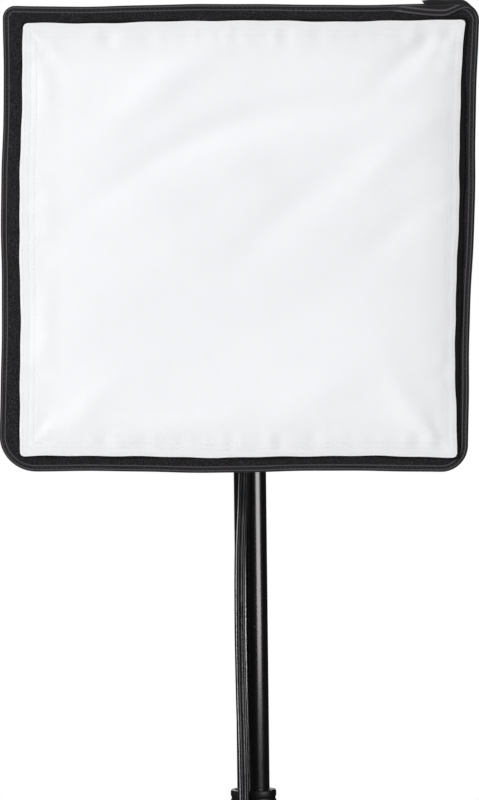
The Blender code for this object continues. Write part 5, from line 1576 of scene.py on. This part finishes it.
def build_kept():
    """Finishes for the CAD nodes that stay as they are."""
    finishes = {"bulb_base": "steel", "bulb_body": "white", "bulb_globe": "opal",
                "lamp_socket": "ceramic", "socket_screw_shell": "brass",
                "plug_blade_left": "brass", "plug_blade_right": "brass",
                "spigot": "steel", "tilt_bolt": "steel", "tilt_nut": "steel",
                "lower_tube_end_plug": "rubber"}
    for name in NODES:
        steel = name.startswith(("rib_", "leg_pin"))
        key = "steel" if steel else finishes.get(name)
        if key:
            for holder in NODES[name].material_slots:
                holder.material = M[key]


# ---------------------------------------------------------------- stage
FLOOR_R = 2.6
PANELS = (             # name, place, point that it looks at, size, watts
    ("key_panel", (-3.0, -4.1, 1.60), (0.0, -0.2, 0.9), (1.7, 3.0), 236.0),
    ("side_panel", (2.25, -1.35, 1.52), (0.0, 0.02, 1.52), (1.35, 2.20), 33.0),
    ("back_panel", (-0.6, 2.4, 1.9), (0, 0.1, 0.6), (1.5, 1.2), 24.0),
    ("sky_panel", (0.0, 0.8, 3.8), (0, 0.8, 0.0), (6.0, 6.0), 170.0))
CAMERA_LENS = 216.6    # millimetres, over a sensor 36 wide
CAMERA_AT = (0.117, FRONT_Y - 3.060, LAMP_Z)
CAMERA_AIM = (0.0011, FRONT_Y, LAMP_Z - 0.1026)


def turned_to(at, aim):
    """Rotation that makes a light or camera at one point look at another."""
    return (Vector(aim) - Vector(at)).to_track_quat("-Z", "Y")


def build_stage():
    """Pale floor, soft lights and the camera."""
    scene = bpy.context.scene
    settings = scene.softbox_stage
    scene.view_settings.view_transform = "Standard"
    angle = circle(96)
    rim = np.stack([np.cos(angle) * FLOOR_R, np.sin(angle) * FLOOR_R,
                    np.full(96, -0.0002)], 1)
    mesh = bpy.data.meshes.new("studio_floor")
    mesh.from_pydata(rim.tolist(), [], [list(range(96))])
    floor = bpy.data.objects.new("studio_floor", mesh)
    scene.collection.objects.link(floor)
    m, t, s, place = new_material("pale_floor", IOR=1.4)
    cloud = noise(t, place, 3.0, 5.0)
    t.links.new(mixed(t, cloud, grey(settings.floor_tone),
                      grey(settings.floor_tone * 0.97)), s.inputs["Base Color"])
    t.links.new(ranged(t, cloud, 0.3, 0.7, 0.6, 0.75), s.inputs["Roughness"])
    mesh.materials.append(m)
    floor.visible_glossy = False

    world = bpy.data.worlds.new("studio")
    scene.world = world
    world.use_nodes = True
    tree = world.node_tree
    back = tree.nodes["Background"]
    back.inputs["Color"].default_value = (1.0, 1.0, 1.0, 1.0)
    back.inputs["Strength"].default_value = settings.room_light
    seen = tree.nodes.new("ShaderNodeBackground")
    seen.inputs["Color"].default_value = (1.0, 1.0, 1.0, 1.0)
    seen.inputs["Strength"].default_value = 1.0
    path = tree.nodes.new("ShaderNodeLightPath")
    blend = tree.nodes.new("ShaderNodeMixShader")
    tree.links.new(path.outputs["Is Camera Ray"], blend.inputs[0])
    tree.links.new(back.outputs[0], blend.inputs[1])
    tree.links.new(seen.outputs[0], blend.inputs[2])
    tree.links.new(blend.outputs[0], tree.nodes["World Output"].inputs["Surface"])

    for name, at, aim, size, power in PANELS:
        light = bpy.data.lights.new(name, "AREA")
        light.shape = "RECTANGLE"
        light.size, light.size_y = size
        light.energy = power * settings.light_strength
        light.color = (1.0, 0.965, 0.975) if name == "side_panel" else (1.0, 1.0, 1.0)
        lamp = bpy.data.objects.new(name, light)
        lamp.visible_glossy = name != "sky_panel"
        lamp.visible_diffuse = name != "side_panel"
        scene.collection.objects.link(lamp)
        lamp.location = at
        lamp.rotation_euler = turned_to(at, aim).to_euler()

    camera = bpy.data.cameras.new("camera")
    camera.lens = CAMERA_LENS
    camera.sensor_width = 36.0
    camera.clip_end = 60.0
    holder = bpy.data.objects.new("camera", camera)
    scene.collection.objects.link(holder)
    roll = Matrix.Rotation(math.radians(-settings.camera_roll), 3, "Z").to_quaternion()
    holder.rotation_euler = (turned_to(CAMERA_AT, CAMERA_AIM) @ roll).to_euler()
    holder.location = CAMERA_AT
    scene.camera = holder


# ---------------------------------------------------------------- add-on
def colour_setting(name, description, default):
    return bpy.props.FloatVectorProperty(name=name, description=description,
                                         default=default, subtype="COLOR", min=0.0,
                                         max=1.0)


def share_setting(name, description, default):
    return bpy.props.FloatProperty(name=name, description=description, default=default,
                                   min=0.0, max=1.0, subtype="FACTOR")


class SoftboxFinish(bpy.types.PropertyGroup):
    """Colours and age of the finishes"""
    paint_colour: colour_setting("Tube paint", "Gloss paint on the stand's tubes",
                                 (0.0020, 0.0020, 0.0022))
    cloth_colour: colour_setting("Shell cloth", "Black nylon of the softbox's shell",
                                 (0.012, 0.012, 0.013))
    diffuser_colour: colour_setting("Diffuser", "White nylon of the front",
                                    (0.855, 0.862, 0.885))
    dust: share_setting("Dust", "How much dust has settled", 0.12)


class SoftboxStage(bpy.types.PropertyGroup):
    """Floor, light and camera"""
    floor_tone: share_setting("Floor tone", "Brightness of the pale floor", 0.88)
    room_light: bpy.props.FloatProperty(
        name="Room light", description="Even light from all round", default=0.02, min=0.0)
    light_strength: bpy.props.FloatProperty(
        name="Panels", description="Strength of the soft panels", default=1.0, min=0.0)
    camera_roll: bpy.props.FloatProperty(
        name="Camera roll", description="Turn of the camera about its view, in degrees",
        default=0.66)


def operator(idname, label, doc, *builders):
    """An operator that calls builders in order."""
    def execute(self, context):
        for builder in builders:
            builder()
        return {"FINISHED"}
    return type("SOFTBOX_OT_" + idname, (bpy.types.Operator,),
                {"__doc__": doc, "bl_idname": "softbox." + idname, "bl_label": label,
                 "execute": execute})


STEPS = [
    operator("materials", "Finishes", "Builds every finish", build_materials),
    operator("stage", "Stage", "Builds the floor, the lights and the camera",
             build_stage),
    operator("cord", "Cord", "Builds the cord, its coil, tie and plug", build_cord),
    operator("diffuser", "Diffuser", "Builds the white front sheet", build_diffuser),
    operator("binding", "Binding", "Builds the edge binding", build_binding,
             build_corner_tab),
    operator("tapes", "Tapes", "Builds the loop and hook tapes", build_loop_tape,
             build_hook_tape),
    operator("shell", "Shell", "Builds the black shell, seams and hem", build_shell),
    operator("tubes", "Tubes", "Builds the telescoping tubes", build_tubes),
    operator("collars", "Lock collars", "Builds the locking collars",
             build_lock_collars),
    operator("knobs", "Knobs", "Builds the lobed knobs and screws", build_knobs),
    operator("legs", "Legs", "Builds the legs and feet", build_legs),
    operator("head", "Lamp head", "Builds the lamp housing", build_head),
    operator("fittings", "Fittings", "Eases the small fittings", build_fittings),
    operator("kept", "Kept parts", "Finishes the CAD parts that stay", build_kept),
]


class SOFTBOX_PT_panel(bpy.types.Panel):
    """Lists the softbox's pieces and settings"""
    bl_idname = "SOFTBOX_PT_panel"
    bl_label = "Studio softbox"
    bl_space_type = "VIEW_3D"
    bl_region_type = "UI"
    bl_category = "Softbox"

    def draw(self, context):
        scene = context.scene
        for group_name in ("softbox_finish", "softbox_stage"):
            settings = getattr(scene, group_name)
            for key in type(settings).__annotations__:
                self.layout.prop(settings, key)
        for step in STEPS:
            self.layout.operator(step.bl_idname)


CLASSES = (SoftboxFinish, SoftboxStage, *STEPS, SOFTBOX_PT_panel)


def register():
    for made in CLASSES:
        bpy.utils.register_class(made)
    bpy.types.Scene.softbox_finish = bpy.props.PointerProperty(type=SoftboxFinish)
    bpy.types.Scene.softbox_stage = bpy.props.PointerProperty(type=SoftboxStage)


def unregister():
    del bpy.types.Scene.softbox_finish
    del bpy.types.Scene.softbox_stage
    for made in reversed(CLASSES):
        bpy.utils.unregister_class(made)


def main():
    register()
    for step in STEPS:
        getattr(bpy.ops.softbox, step.bl_idname.split(".")[1])()


if __name__ == "__main__":
    main()
